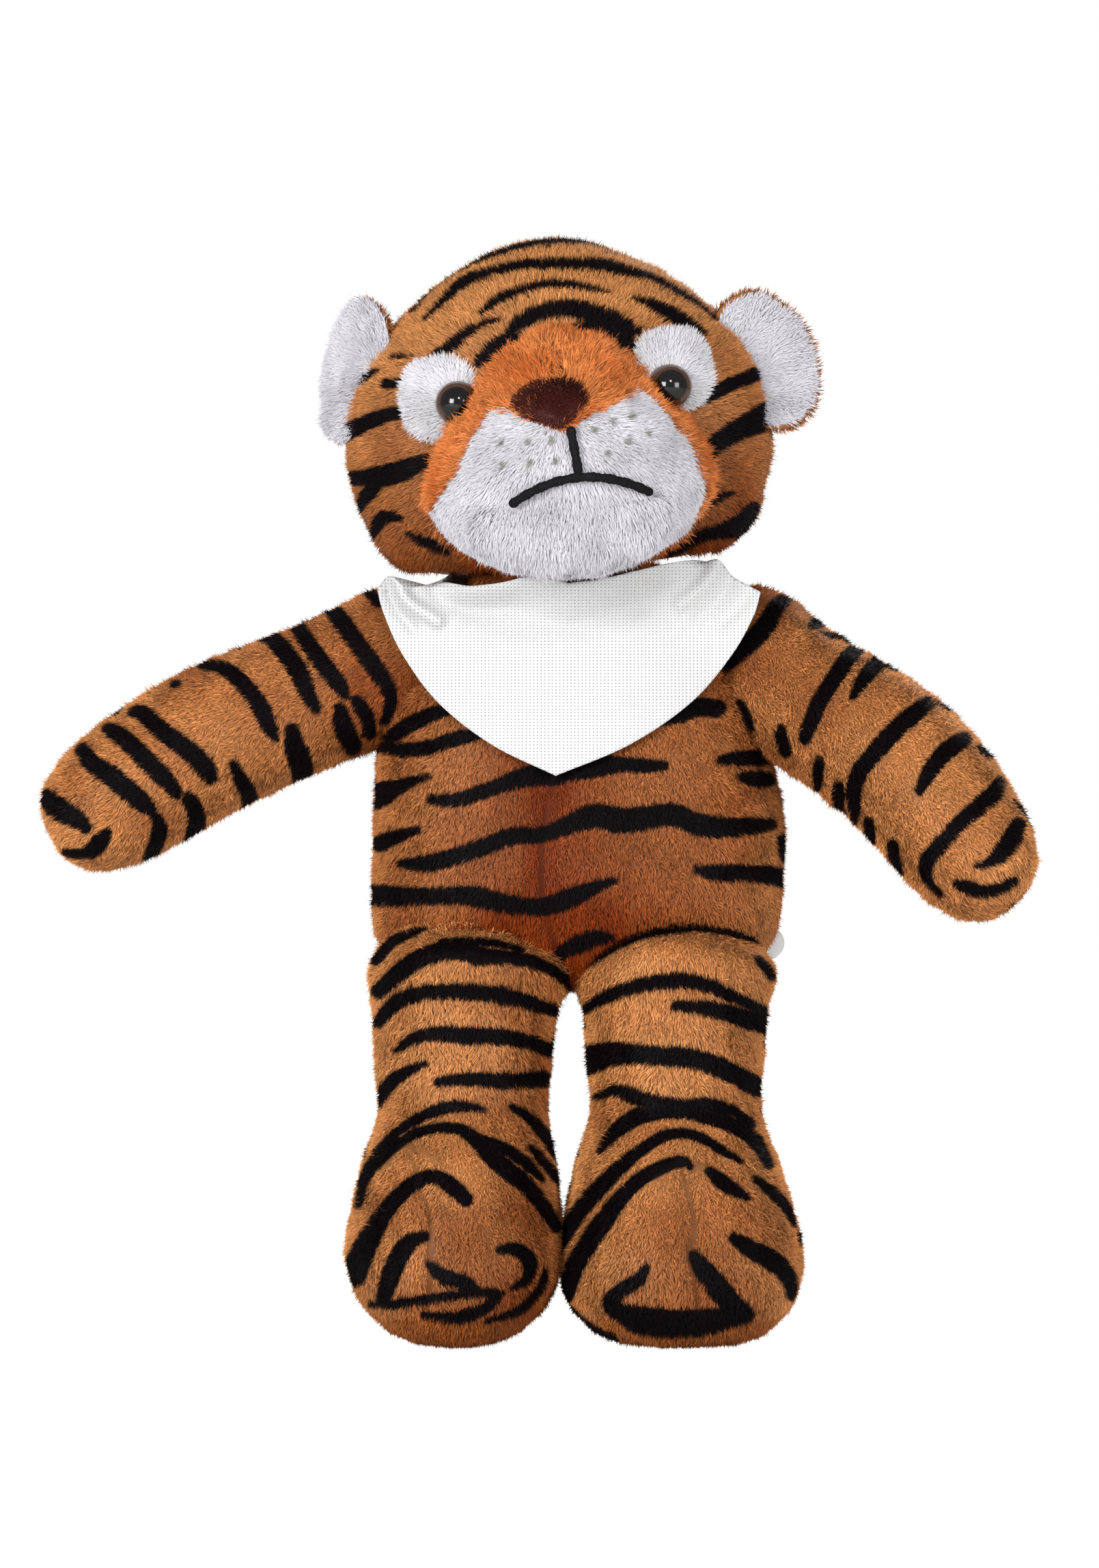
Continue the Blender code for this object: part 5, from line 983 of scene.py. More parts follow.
def strands(name, form, material, body, print_on=None, density=13.0, length=1.7,
            width=0.17, lean=47, comb=(0, 0, -1), seed=1, keep=None, deep=None, tuft=0.22,
            stray=0.19, rear=0.37, seams=(), dim=1.0, wrap=0.0, upright=0.12):
    """Pile over a form. density is strands to a square millimetre, lean degrees from upright,
    comb a direction or a function of points, keep a function that says what stays, rear the share
    of strands that stays where the form faces away, tuft and stray how far a tuft and a strand
    turn from the comb, and upright the share of strands that stands. deep gives the depth of
    colour at each root, which is mostly painted shade. seams are lines where the pile is drawn
    in, caught short and darkened as painted shade in the crease, and dim darkens all. A strand's
    own brightness varies at random, and the brightest few are painted glints. A strand's normal
    is mostly the form's, so that light falls on the pile as it does on the whole, and wrap turns
    it to the front, as light goes through pale pile."""
    draw = np.random.default_rng(seed)
    p = form.points
    first, second = p[1:, 1:] - p[:-1, :-1], p[1:, :-1] - p[:-1, 1:]
    area = (np.linalg.norm(np.cross(first, second), axis=-1) / 2).ravel()
    count = int(area.sum() * density)
    steps = (np.arange(count) + draw.random(count)) / count * area.sum()
    cell = np.minimum(np.searchsorted(np.cumsum(area), steps), len(area) - 1)
    i, j = np.divmod(cell, p.shape[1] - 1)
    s, t = draw.random((2, count))[:, :, None]
    root, normal = between(p, i, j, s, t), unit(between(form.normals, i, j, s, t))
    back = normal[:, 1] > REAR_FACING
    stay = ~back | (draw.random(count) < rear)
    if keep is not None:
        stay &= keep(root, normal)
    root, normal, back = root[stay], normal[stay], back[stay]
    count = len(root)
    caught = seam_share(root, seams) * ~back if seams else np.zeros(count)
    root = root - normal * SEAM_DEPTH * caught[:, None]
    way = comb(root) if callable(comb) else np.broadcast_to(np.array(comb, float), root.shape)
    way = unit(way - normal * (way * normal).sum(1, keepdims=True))
    across = np.cross(normal, way)
    tufts = (wave(root, 5.0, seed + 1)[:, None] * across + wave(root, 6.0, seed + 2)[:, None]
             * way) * tuft
    loose = draw.normal(size=(count, 3)) * stray
    angle = np.radians(lean) * np.where(draw.random((count, 1)) < upright, LEAN_UPRIGHT, 1.0)
    low, high = angle * LEAN_LOW, angle * LEAN_HIGH
    low = unit(normal * np.cos(low) + way * np.sin(low) + LOOSE_LOW * (tufts + loose))
    high = unit(normal * np.cos(high) + way * np.sin(high) + tufts + loose)
    long = length * (draw.normal(1, LENGTH_SPREAD, count).clip(0.5, 1.6)
                     * (1 - SEAM_SHORT * caught)
                     * (1 + 0.10 * wave(root, 7.0, seed + 3)))[:, None]
    broad = (width * np.where(back, REAR_WIDTH, 1.0) * draw.uniform(*WIDTH_RANGE, count))[:, None]
    turn = draw.normal(size=(count, 1)) * TURN_SPREAD
    toward = unit(camera_place - root)
    facing = (normal * toward).sum(1, keepdims=True)
    outward = unit(normal + toward * (1 - np.abs(facing) / SIDE_FACING).clip(0, 1))
    flank = unit(np.cross(low, outward) + turn * normal) * broad / 2
    middle = root + low * long * 0.5
    tip = middle + high * long * 0.5
    points = np.stack([root - normal * ROOT_DEPTH, middle + flank, middle - flank, tip], axis=1)
    points[..., 2] = np.maximum(points[..., 2], FLOOR_GAP)
    dyed = middle * DYED_MIDDLE + tip * DYED_TIP
    edge = printed(dyed, normal, print_on) + DYE_STRAY * wave(root, 1.3, seed + 4)
    shade = deep(root) if deep else np.zeros(count)
    chance = draw.random(count)
    # A strand's own brightness, at random: a few strands are made much brighter as painted
    # glints, and a seam's crease takes some away as painted shade.
    own = dim * (0.70 + 0.50 * chance + 0.55 * chance ** 10) * (1 - SEAM_CREASE_SHADE * caught)
    blade = unit(np.cross(flank, high))
    lit_from = unit(normal + blade * OWN_NORMAL + wrap * TO_FRONT)
    away = (blade * np.where(facing > FRONT_FACING, toward, outward)).sum(1) < 0
    for first in range(0, count, MOST_STRANDS):
        run = slice(first, first + MOST_STRANDS)
        part = len(edge[run])
        start = np.arange(part)[:, None] * 4
        turned = away[run, None]
        faces = np.concatenate([start + np.where(turned, (0, 2, 1), (0, 1, 2)),
                                start + np.where(turned, (2, 3, 1), (2, 1, 3))])
        values = {"stripe": np.repeat(edge[run], 4), "deep": np.repeat(shade[run], 4),
                  "tip": np.tile([0.0, 0.55, 0.55, 1.0], part), "shade": np.repeat(own[run], 4)}
        label = name if count <= MOST_STRANDS else name + "_" + str(first // MOST_STRANDS + 1)
        mesh = mesh_of(label, points[run].reshape(-1, 3), faces, values,
                       np.repeat(lit_from[run], 4, axis=0))
        strand_map(mesh, part, faces)
        piece(label, mesh, material, body)
    print(name, count, "strands")


def strand_map(mesh, count, faces):
    """A flat map that gives each strand its own small square."""
    side = int(np.ceil(np.sqrt(count)))
    row, column = np.divmod(np.arange(count), side)
    corner = np.array([(0.06, 0.06), (0.94, 0.06), (0.06, 0.94), (0.94, 0.94)])
    place = (np.stack([column, row], axis=1)[:, None] + corner[None]).reshape(-1, 2) / side
    layer = mesh.uv_layers.new(name="OFBake")
    layer.data.foreach_set("uv", place[faces.ravel()].astype(np.float32).ravel())


# %% [markdown]
# ## Finishes
# Every pile shares one recipe. The colour runs from a light to a deep tone by the depth value,
# which is painted shade where a form turns under, meets another part or dips at a seam, with
# uneven tone besides. It turns to the stripe colour where the stripe distance is below zero, and
# darkens from tip to root as painted shade, as light is lost between strands. Noise on the
# object's own coordinates and the strand's own shade keep it from being even, and the brightest
# strands stand for painted glints. A stripe has less gloss than the orange beside it.

# %% Pile materials
def finish(name, **values):
    """A new material, its node tree and its main shader, with sockets set by name."""
    made = bpy.data.materials.new(name)
    made.use_nodes = True
    shader = made.node_tree.nodes["Principled BSDF"]
    for key, value in values.items():
        shader.inputs[key.replace("_", " ")].default_value = value
    return made, made.node_tree, shader


def value_of(tree, name):
    """A value that the mesh carries at each point."""
    return node(tree, "ShaderNodeAttribute", attribute_name=name).outputs["Fac"]


def mix(tree, factor, first, second, how="MIX"):
    """A colour mix whose colours are outputs or plain colours."""
    made = node(tree, "ShaderNodeMix", data_type="RGBA", blend_type=how, clamp_factor=True)
    for place, value in ((0, factor), (6, first), (7, second)):
        fed(tree, made.inputs[place], value)
    return made.outputs[2]


def ranged(tree, value, low, high, to_low=0.0, to_high=1.0):
    """A value taken from one range to another, and held at its ends."""
    made = node(tree, "ShaderNodeMapRange", Value=value, From_Min=low, From_Max=high,
                To_Min=to_low, To_Max=to_high)
    return made.outputs["Result"]


def noise(tree, scale, detail, place=None):
    """Noise on the object's own coordinates, or on another map."""
    if place is None:
        place = node(tree, "ShaderNodeTexCoord").outputs["Object"]
    made = node(tree, "ShaderNodeTexNoise", Vector=place, Scale=scale, Detail=detail)
    return made.outputs["Fac"]


def bumped(tree, shader, height, strength, distance, invert=False):
    """Fine relief on a shader from a height."""
    bump = node(tree, "ShaderNodeBump", Height=height, Strength=strength, Distance=distance,
                invert=invert)
    fed(tree, shader.inputs["Normal"], bump.outputs[0])


def grained(name, dark, pale, scale, detail, strength=0.0, distance=0.0, **values):
    """A finish between two tones by fine noise, with that noise as its relief."""
    made, tree, shader = finish(name, **values)
    grain = noise(tree, scale, detail)
    fed(tree, shader.inputs["Base Color"], mix(tree, grain, dark, pale))
    if strength:
        bumped(tree, shader, grain, strength, distance)
    return made


def pile_material(name, light, deep, stripe=(0.006, 0.004, 0.005, 1), ends=(0.34, 1.20),
                  vary=1.0, soft=0.28):
    """The pile's recipe. light and deep are the tones that the depth value runs between, and that
    value is mostly painted shade. ends are the brightness at root and tip, darker at the root as
    painted shade, vary how far a strand's own shade counts, and soft half the width of a stripe's
    edge in millimetres."""
    made, tree, shader = finish(name, Roughness=0.42)
    # The depth value runs from the light tone to the deep one: painted shade, with uneven tone.
    tone = mix(tree, value_of(tree, "deep"), light, deep)
    patches = ranged(tree, noise(tree, 95.0, 3.0), 0.3, 0.7, 0.84, 1.12)
    # A strand's own shade, whose brightest strands are painted glints.
    own = ranged(tree, value_of(tree, "shade"), 0.0, 2.0, 1 - vary, 1 + vary)
    # Painted shade from tip to root, as light is lost between strands.
    depth = ranged(tree, value_of(tree, "tip"), 0.0, 1.0, *ends)
    total = worked_out(tree, "MULTIPLY", worked_out(tree, "MULTIPLY", patches, own), depth)
    grey = node(tree, "ShaderNodeCombineColor", Red=total, Green=total, Blue=total)
    dyed = mix(tree, 1.0, tone, grey.outputs[0], "MULTIPLY")
    edge = ranged(tree, value_of(tree, "stripe"), -soft, soft)
    fed(tree, shader.inputs["Base Color"], mix(tree, edge, stripe, dyed))
    gloss = ranged(tree, value_of(tree, "stripe"), -soft, soft, 0.04, 0.13)
    fed(tree, shader.inputs["Specular IOR Level"], gloss)
    return made


# The light tan, and the deep orange that painted shade and uneven tone run towards.
TAN = (0.80, 0.335, 0.108, 1)
DEEP_AND_SHADED_ORANGE = (0.27, 0.040, 0.002, 1)
striped = pile_material("striped_pile", TAN, DEEP_AND_SHADED_ORANGE)
bright_orange = pile_material("bright_pile", (0.90, 0.29, 0.080, 1), (0.58, 0.115, 0.018, 1),
                              ends=(0.30, 1.12))
# The white pile's deep tone is the lavender grey of painted shade.
white_pile = pile_material("white_pile", (0.77, 0.755, 0.785, 1), (0.66, 0.645, 0.70, 1),
                           stripe=(0.20, 0.21, 0.16, 1), ends=(0.96, 1.04), vary=0.25, soft=0.5)
sole_pile = pile_material("sole_pile", (0.60, 0.21, 0.05, 1), (0.32, 0.07, 0.01, 1))
stuffing = grained("loose_fibre", (0.70, 0.70, 0.68, 1), (0.88, 0.88, 0.86, 1), 420.0, 6.0,
                   0.4, 0.001, Roughness=0.95)
print("pile finishes:", striped.name, bright_orange.name, white_pile.name, sole_pile.name)

# %% [markdown]
# ## Covers and their pile
# Body first. A large pile is split into several meshes, so that none is too large to handle.
# Pile that no one can see, inside a shoulder, a hip or the neck, is left out.

# %% Body cover
FILL_DEPTH, BELLY_DIP, BELLY_SPREAD = 1.6, 1.1, 3.2
SOCKET_MARGIN, PILE_TOP = 2.5, 158


def near_ball(points, middle, radius):
    """True for points within a radius of a place."""
    return ((points - middle) ** 2).sum(1) < radius ** 2


def sunk(form, lines, depth, reach):
    """A form whose surface dips along seams that the camera sees."""
    flat = form.points.reshape(-1, 3)
    facing = form.normals.reshape(-1, 3)[:, 1] < 0
    dip = (depth * seam_share(flat, lines, reach) * facing).reshape(form.points.shape[:2] + (1,))
    return Form(form.points - form.normals * dip, form.levels)


body_form = sunk(body_form, [BELLY_SEAM], BELLY_DIP, BELLY_SPREAD)


def body_keep(points, normal):
    """Body pile stays unless a limb's root or the neck hides it."""
    hidden = points[:, 2] > PILE_TOP
    for side in SIDES:
        hidden |= near_ball(points, TOY + SHOULDERS[side], ARM_RADIUS - SOCKET_MARGIN)
        hidden |= near_ball(points, TOY + HIPS[side], LEG_HALF[1] - SOCKET_MARGIN)
    return ~hidden


def body_shade(points):
    """Painted shade: deeper orange low on the belly, where it turns under above the thighs, along
    the crease of the middle seam and down the middle, and lighter on the sides, with uneven tone.
    """
    local = points - TOY
    middle = bell(local[:, 0], -3, 15)
    low = np.exp(-((local[:, 2] - 84) / 8) ** 2 - ((local[:, 0] + 5) / 22) ** 2)
    seam = 0.2 * seam_share(points, [BELLY_SEAM], 4.0)
    inner = np.clip((39 - np.abs(local[:, 0] - 1)) / 5, 0, 1)
    return (0.36 + 0.16 * inner + 0.42 * middle + 0.34 * low + seam
            + 0.08 * wave(points, 24, 3)).clip(0, 1)


def stuffed(name, form, body, nodes, print_on, material, deep, seams=()):
    """A cover's skin and the filling inside it."""
    cover = skin(name + "_skin", form, print_on, material, body, (nodes[0],), deep, seams)
    inner = form.drawn_in(FILL_DEPTH)
    inner = Form(inner.points[::2, ::2], inner.levels[::2])
    inner.points[..., 2] = np.maximum(inner.points[..., 2], FILL_DEPTH)
    filling = skin(name + "_stuffing", inner, None, stuffing, body, (nodes[1],))


stuffed("body", body_form, "torso", ("body_cover", "body_filling"),
        body_print, striped, body_shade, [BELLY_SEAM])
strands("body_pile", body_form, striped, "torso", body_print, seed=11,
        keep=body_keep, deep=body_shade, seams=[BELLY_SEAM],
        comb=lambda p: np.array([0, 0, -1.0]) + 0.25 * unit(p - TOY - (0, 0, 110)))

# %% Head cover
NOSE_MIDDLE = in_head(np.array([0.0, -56.0, 1.0]))
SNOUT_INSET, SNOUT_LEVEL, SNOUT_HALF, CHIN_INSET = 0.9, -9.5, 24, 0.86


def away_from_nose(points):
    """Pile on a head is combed back from the nose."""
    return unit(points - NOSE_MIDDLE) + (0, 0.3, -0.15)


def in_muzzle(points):
    """True inside the muzzle, by its oval's equation a little drawn in."""
    local = from_head(points)
    width, depth = (np.interp(local[:, 2], muzzle_rows[:, 0], muzzle_rows[:, k]) for k in (1, 2))
    across = (local[:, 0] - MUZZLE_MIDDLE[0]) / (width * SNOUT_INSET)
    along = (local[:, 1] - MUZZLE_MIDDLE[1]) / (depth * SNOUT_INSET)
    return ((across ** 2 + along ** 2) < 1) & (np.abs(local[:, 2] - SNOUT_LEVEL) < SNOUT_HALF)


def in_chin(points):
    """True inside the chin, by its egg's equation a little drawn in."""
    local = from_head(points) - CHIN_MIDDLE
    return ((local / CHIN_HALF) ** 2).sum(1) < CHIN_INSET


def in_head_form(points):
    """True well inside the head, by its oval's equation at each point's height."""
    local = from_head(points)
    width, depth, power = (np.interp(local[:, 2], head_rows[:, 0], head_rows[:, k])
                           for k in (1, 2, 5))
    across = np.abs(local[:, 0]) / (width - SOCKET_MARGIN)
    along = np.abs(local[:, 1]) / (depth - SOCKET_MARGIN)
    return (across ** power + along ** power < 1) & (np.abs(local[:, 2]) < HEAD_HALF[2] - 2)


def head_shade(points):
    """Painted shade that deepens towards the jaw, where the head turns under, light on the crown,
    with uneven tone.
    """
    local = from_head(points)
    return (0.34 - local[:, 2] / 56 + 0.08 * wave(points, 20, 5)).clip(0, 1)


stuffed("head", head_form, "head", ("head_cover", "head_filling"),
        head_print, striped, head_shade)
strands("head_pile", head_form, striped, "head", head_print, seed=21,
        length=1.9, keep=lambda p, n: ~in_muzzle(p) & (n[:, 2] > -0.93), deep=head_shade,
        dim=0.84, comb=away_from_nose)

# %% Muzzle, panel and chin
PANEL_WIDTH, PANEL_HEIGHT, PANEL_BOTTOM = 55.0, 36.0, -34.5
PANEL_SHARES = [
    (-0.50, 0.42), (-0.36, 0.64), (-0.31, 0.80), (-0.21, 0.97), (-0.10, 0.90), (0.02, 0.82),
    (0.13, 0.90), (0.29, 1.00), (0.38, 0.86), (0.46, 0.66), (0.50, 0.44), (0.43, 0.16),
    (0.28, 0.00), (0.00, -0.10), (-0.32, 0.00), (-0.48, 0.28),
]
panel = np.array(PANEL_SHARES) * (PANEL_WIDTH, PANEL_HEIGHT) + (0, PANEL_BOTTOM)
# Across and up in the head's own frame.
WHISKERS = [(-12.0, -6.6), (-6.6, -6.9), (-1.7, -7.4), (-12.3, -11.2), (-6.6, -11.4),
            (-1.2, -11.4), (7.3, -5.8), (11.2, -4.2), (15.0, -3.4), (18.2, -7.2),
            (14.0, -8.4), (9.3, -10.6)]
WHISKER_HALF, WHISKER_RUN = 0.62, 0.05
FRONT_LIFT, FRONT_THICKNESS, PANEL_LAP, FAR = 0.15, 0.4, 0.3, 99.0


def outside_outline(x, z, outline):
    """Distance outside a closed outline in the x z plane, below zero inside it."""
    near = np.full(len(x), FAR)
    inside = np.zeros(len(x), bool)
    for (x0, z0), (x1, z1) in zip(outline, np.roll(outline, -1, axis=0)):
        ax, az = x1 - x0, z1 - z0
        t = np.clip(((x - x0) * ax + (z - z0) * az) / (ax * ax + az * az), 0, 1)
        near = np.minimum(near, np.hypot(x - x0 - t * ax, z - z0 - t * az))
        crosses = (z0 > z) != (z1 > z)
        inside ^= crosses & (x < x0 + (z - z0) / np.where(az == 0, 1e-9, az) * ax)
    return np.where(inside, -near, near)


def panel_distance(points):
    """Distance outside the white panel, and behind the muzzle always outside."""
    local = from_head(points)
    return np.where(local[:, 1] < MUZZLE_MIDDLE[1] - 2,
                    outside_outline(local[:, 0], local[:, 2], panel), FAR)


def muzzle_deep(points):
    """Neither deep nor light, with an uneven dye."""
    return (0.25 + 0.2 * wave(points, 14, 7)).clip(0, 1)


def white_shade(points):
    """Painted shade: slightly greyer low on the muzzle, where it turns under, with uneven tone.
    """
    local = from_head(points)
    return (0.15 - local[:, 2] / 90 + 0.1 * wave(points, 16, 8)).clip(0, 1)


def whisker_print():
    """A dot for each whisker, as a stroke too short to be seen as one."""
    places = np.array([[x, float(front_of(muzzle_rows, x, z)), z] for x, z in WHISKERS])
    dots = in_picture(in_head(places))
    return [np.array([[*dot, WHISKER_HALF], [*(dot + WHISKER_RUN), WHISKER_HALF]])
            for dot in dots], []


stuffed("muzzle", muzzle_form, "head", ("muzzle_top", "muzzle_filling"), None,
        bright_orange, muzzle_deep)
front_skin = Form(muzzle_form.points + muzzle_form.normals * FRONT_LIFT, muzzle_form.levels)
backing = front_skin.points[:, :-1].reshape(-1, 3)
cells = front_skin.faces()
on_panel = panel_distance(backing[cells].mean(1)) < 0
used, corners = np.unique(cells[on_panel], return_inverse=True)
flat = {"stripe": np.full(len(used), REACH), "deep": white_shade(backing[used]),
        "tip": np.full(len(used), 0.5), "shade": np.full(len(used), BACKING_SHADE)}
panel_skin = piece("muzzle_front_skin", mesh_of("muzzle_front_skin", backing[used],
                                                corners.reshape(-1, 4), flat),
                   white_pile, "head", ("muzzle_front",))
thickened(panel_skin, "backing", FRONT_THICKNESS, -1)
strands("muzzle_top_pile", muzzle_form, bright_orange, "head", seed=31,
        density=15.0, length=3.0, width=0.2, tuft=0.42, stray=0.24, deep=muzzle_deep,
        comb=lambda p: unit(p - NOSE_MIDDLE) + (0, 0.2, 0.1),
        keep=lambda p, n: (panel_distance(p) > -PANEL_LAP) & ~in_head_form(p))
strands("muzzle_front_pile", muzzle_form, white_pile, "head", whisker_print(),
        seed=33, density=18.0, length=2.0, width=0.19, lean=52, tuft=0.10, stray=0.13, wrap=0.5,
        upright=0.03, deep=white_shade, comb=lambda p: unit(p - NOSE_MIDDLE) + (0, 0.15, -0.25),
        keep=lambda p, n: (panel_distance(p) < PANEL_LAP) & ~in_chin(p))
skin("chin_skin", chin_form, None, white_pile, "head", ("chin",), white_shade)
strands("chin_pile", chin_form, white_pile, "head", seed=35, density=22.0,
        length=2.4, width=0.19, lean=50, tuft=0.10, stray=0.14, deep=white_shade, dim=0.94,
        wrap=0.9, upright=0.04,
        comb=lambda p: np.array([0, -0.35, -1.0]) + 0.5 * unit(p - NOSE_MIDDLE),
        keep=lambda p, n: ~in_muzzle(p))

# %% Arm covers
BODY_CORE = 27
# Painted shade on the arms: a base depth for each side, more near the body, less at the paw.
ARM_DEEP, ARM_NEAR, PAW_LIGHT = {"left": 0.14, "right": 0.34}, 0.34, 0.16
for side in SIDES:
    form = arm_forms[side]
    paw = unit(form.points[-1].mean(0) - (TOY + SHOULDERS[side]))

    def arm_shade(points):
        """Painted shade, deeper towards the body where the arm meets it and lighter at the paw,
        over each arm's own base depth, with uneven tone.
        """
        out = np.abs(points[:, 0] - TOY[0])
        near, far = bell(out, 36, 15), np.clip((out - 84) / 10, 0, 1)
        return (ARM_DEEP[side] + ARM_NEAR * near - PAW_LIGHT * far
                + 0.10 * wave(points, 22, 9)).clip(0, 1)

    def arm_keep(points, normal):
        """Arm pile stays outside the middle of the body."""
        return ~near_ball(points, body_form.points.mean((0, 1)), BODY_CORE)

    stuffed(side + "_arm", form, side + "_arm",
            (side + "_arm_cover", side + "_arm_filling"), arm_print[side], striped, arm_shade)
    strands(side + "_arm_pile", form, striped, side + "_arm", arm_print[side],
            seed=41, keep=arm_keep, deep=arm_shade, comb=lambda p: paw + (0, 0, -0.25))

# %% Leg covers and soles
LEG_SHADED = {"left": 0.12, "right": 0.38}
FOOT_DIP, FOOT_SPREAD, SOLE_LIFT = 0.9, 2.8, 0.12
for side in SIDES:
    form = sunk(leg_forms[side], [FOOT_SEAMS[side]], FOOT_DIP, FOOT_SPREAD)
    seam = int(np.searchsorted(form.levels, SOLE_SEAM))

    def leg_shade(points):
        """Painted shade in the ankle's crease and where the other leg shades it. Deeper at the
        toe and towards the bottom of the foot, light on the thigh and the foot's sides, with
        uneven tone."""
        height = points[:, 2]
        across = points[:, 0] - TOY[0] - HIPS[side][0] - SIDES[side] * FOOT_OUTWARD[side]
        toe = np.clip((36 - height) / 8, 0, 1) * bell(across, 1, 15)
        shaded = bell(across, 15, 8)
        return (0.07 + 0.14 * bell(height, 46, 7) + 0.46 * toe
                + LEG_SHADED[side] * shaded + 0.2 * np.clip((18 - height) / 8, 0, 1)
                + 0.08 * wave(points, 20, 12)).clip(0, 1)

    stuffed(side + "_leg", form, side + "_leg",
            (side + "_leg_cover", side + "_leg_filling"), leg_print[side], striped, leg_shade,
            [FOOT_SEAMS[side], INSTEP_SEAMS[side]])
    strands(side + "_leg_pile", form, striped, side + "_leg", leg_print[side],
            seed=51, deep=leg_shade, keep=lambda p, n: p[:, 2] > SOLE_SEAM,
            comb=(0, -0.15, -1.0), seams=[FOOT_SEAMS[side], INSTEP_SEAMS[side]])
    strands(side + "_sole_pile", form, sole_pile, side + "_leg",
            leg_print[side], seed=53, density=9.0, length=1.6, deep=leg_shade,
            keep=lambda p, n: p[:, 2] <= SOLE_SEAM, comb=(0, 0.3, -1.0))
    sole = Form((form.points + form.normals * SOLE_LIFT)[:seam + 1], form.levels[:seam + 1])
    skin(side + "_sole_skin", sole, leg_print[side], sole_pile, side + "_leg",
         (side + "_sole",), leg_shade)

# %% Tail cover
tail_way = unit(tail_skin_form.points[-1].mean(0) - (TOY + TAIL_ROOT))
stuffed("tail", tail_skin_form, "tail", ("tail_cover", "tail_filling"),
        tail_print, striped, body_shade)
strands("tail_pile", tail_skin_form, striped, "tail", tail_print, seed=61,
        rear=0.8, deep=body_shade, comb=tuple(tail_way),
        keep=lambda p, n: p[:, 1] > TOY[1] + 26)

# %% [markdown]
# ## Ears
# An ear is two rounded pieces sewn back to back: white plush in front, striped behind, cupped
# forward. Each half is a lens: a grid in polar form, with rows from the middle to the rim and
# columns round it.

# %% Ear halves
def lens_rows(up, down):
    """Rows of a lens: the share of its radius, out over the face and back behind it, and one
    for a row of the face or zero for a row behind."""
    share = np.concatenate([np.linspace(0.01, 1, up), np.linspace(1, 0.01, down)[1:]])
    return share[:, None], (np.arange(len(share)) < up).astype(float)[:, None]


EAR_HALF, EAR_REACH, EAR_ROOT, EAR_THICK, EAR_CUP = 15.5, 22.2, 4.0, 5.0, 3.5
EAR_TOP, EAR_BASE = np.array([31.0, -8.0, 21.0]), np.array([38.5, -10.0, -8.0])
EAR_RAISE = {"left": -2.2, "right": 4.0}
EAR_DRAWN, EAR_BACK_DRAWN = {"left": 1.9, "right": 0.9}, 0.9
EAR_GAP, EAR_RIM_FACING = 0.1, -0.35
EAR_YAW = {"left": np.radians(32), "right": np.radians(62)}


def ear_axes(side):
    """The ear's middle and its three directions: out, back and along its seam."""
    sign = SIDES[side]
    top = EAR_TOP * (sign, 1, 1) + (0, 0, EAR_RAISE[side])
    base = EAR_BASE * (sign, 1, 1) + (0, 0, EAR_RAISE[side])
    along = unit(top - base)
    out = np.array([sign * np.cos(EAR_YAW[side]), np.sin(EAR_YAW[side]), 0])
    out = unit(out - along * (out @ along))
    return (top + base) / 2, out, np.cross(along, out) * sign, along


def ear_half(side, front):
    """A lens: out and along follow a circle, and the puff falls with the radius's fourth
    power, on a sheet that cups forward with the square of the distance."""
    middle, out, back, along = ear_axes(side)
    drawn = EAR_DRAWN[side] if front else EAR_BACK_DRAWN
    rise, face = lens_rows(30, 12)
    angle = np.linspace(-PI, PI, 73)[None]
    half = (EAR_REACH + EAR_ROOT) / 2 - drawn
    o = (EAR_REACH - EAR_ROOT) / 2 + half * rise * np.cos(angle)
    a = (EAR_HALF - drawn) * rise * np.sin(angle)
    cup = -EAR_CUP * ((o / EAR_REACH) ** 2 + (a / EAR_HALF) ** 2) / 2
    puff = (EAR_THICK / 2 - drawn) * (1 - rise ** 4) * face
    lift = cup + (-1 if front else 1) * (puff + EAR_GAP)
    local = (middle + o[..., None] * out + lift[..., None] * back + a[..., None] * along)
    return Form(in_head(local), np.concatenate([np.linspace(0, 1, 30), np.linspace(1, 2, 11)]))


for side in SIDES:
    middle, out, back, along = ear_axes(side)
    stem = in_head(middle)
    facing = turn_y(back, HEAD_ROLL)
    for half, front, look, slot in (("_ear_front", True, white_pile, "white_plush"),
                                    ("_ear_back", False, striped, "striped_plush")):
        form = ear_half(side, front)
        marks = None if front else ([], wrapped_on(form, EAR_BACK))
        outer = (lambda p, n: (n @ facing) * (-1 if front else 1) > EAR_RIM_FACING)
        shade = (lambda p: np.full(len(p), 0.6 if front else 0.3))
        skin(side + half + "_skin", form, marks, look, side + "_ear", (side + half,), shade)
        strands(side + half + "_pile", form, look, side + "_ear", marks, seed=71,
                density=17.0, length=1.8, width=0.17, lean=52, rear=0.8, stray=0.16,
                comb=lambda p: unit(p - stem), keep=outer, deep=shade, dim=0.88,
                wrap=0.4 if front else 0.0)

# %% [markdown]
# ## Eyes
# Safety eyes are half-round plastic domes, brown with a black pupil under a clear polish. The
# white plush patch behind each is a rounded square with its pile combed away from the eye.

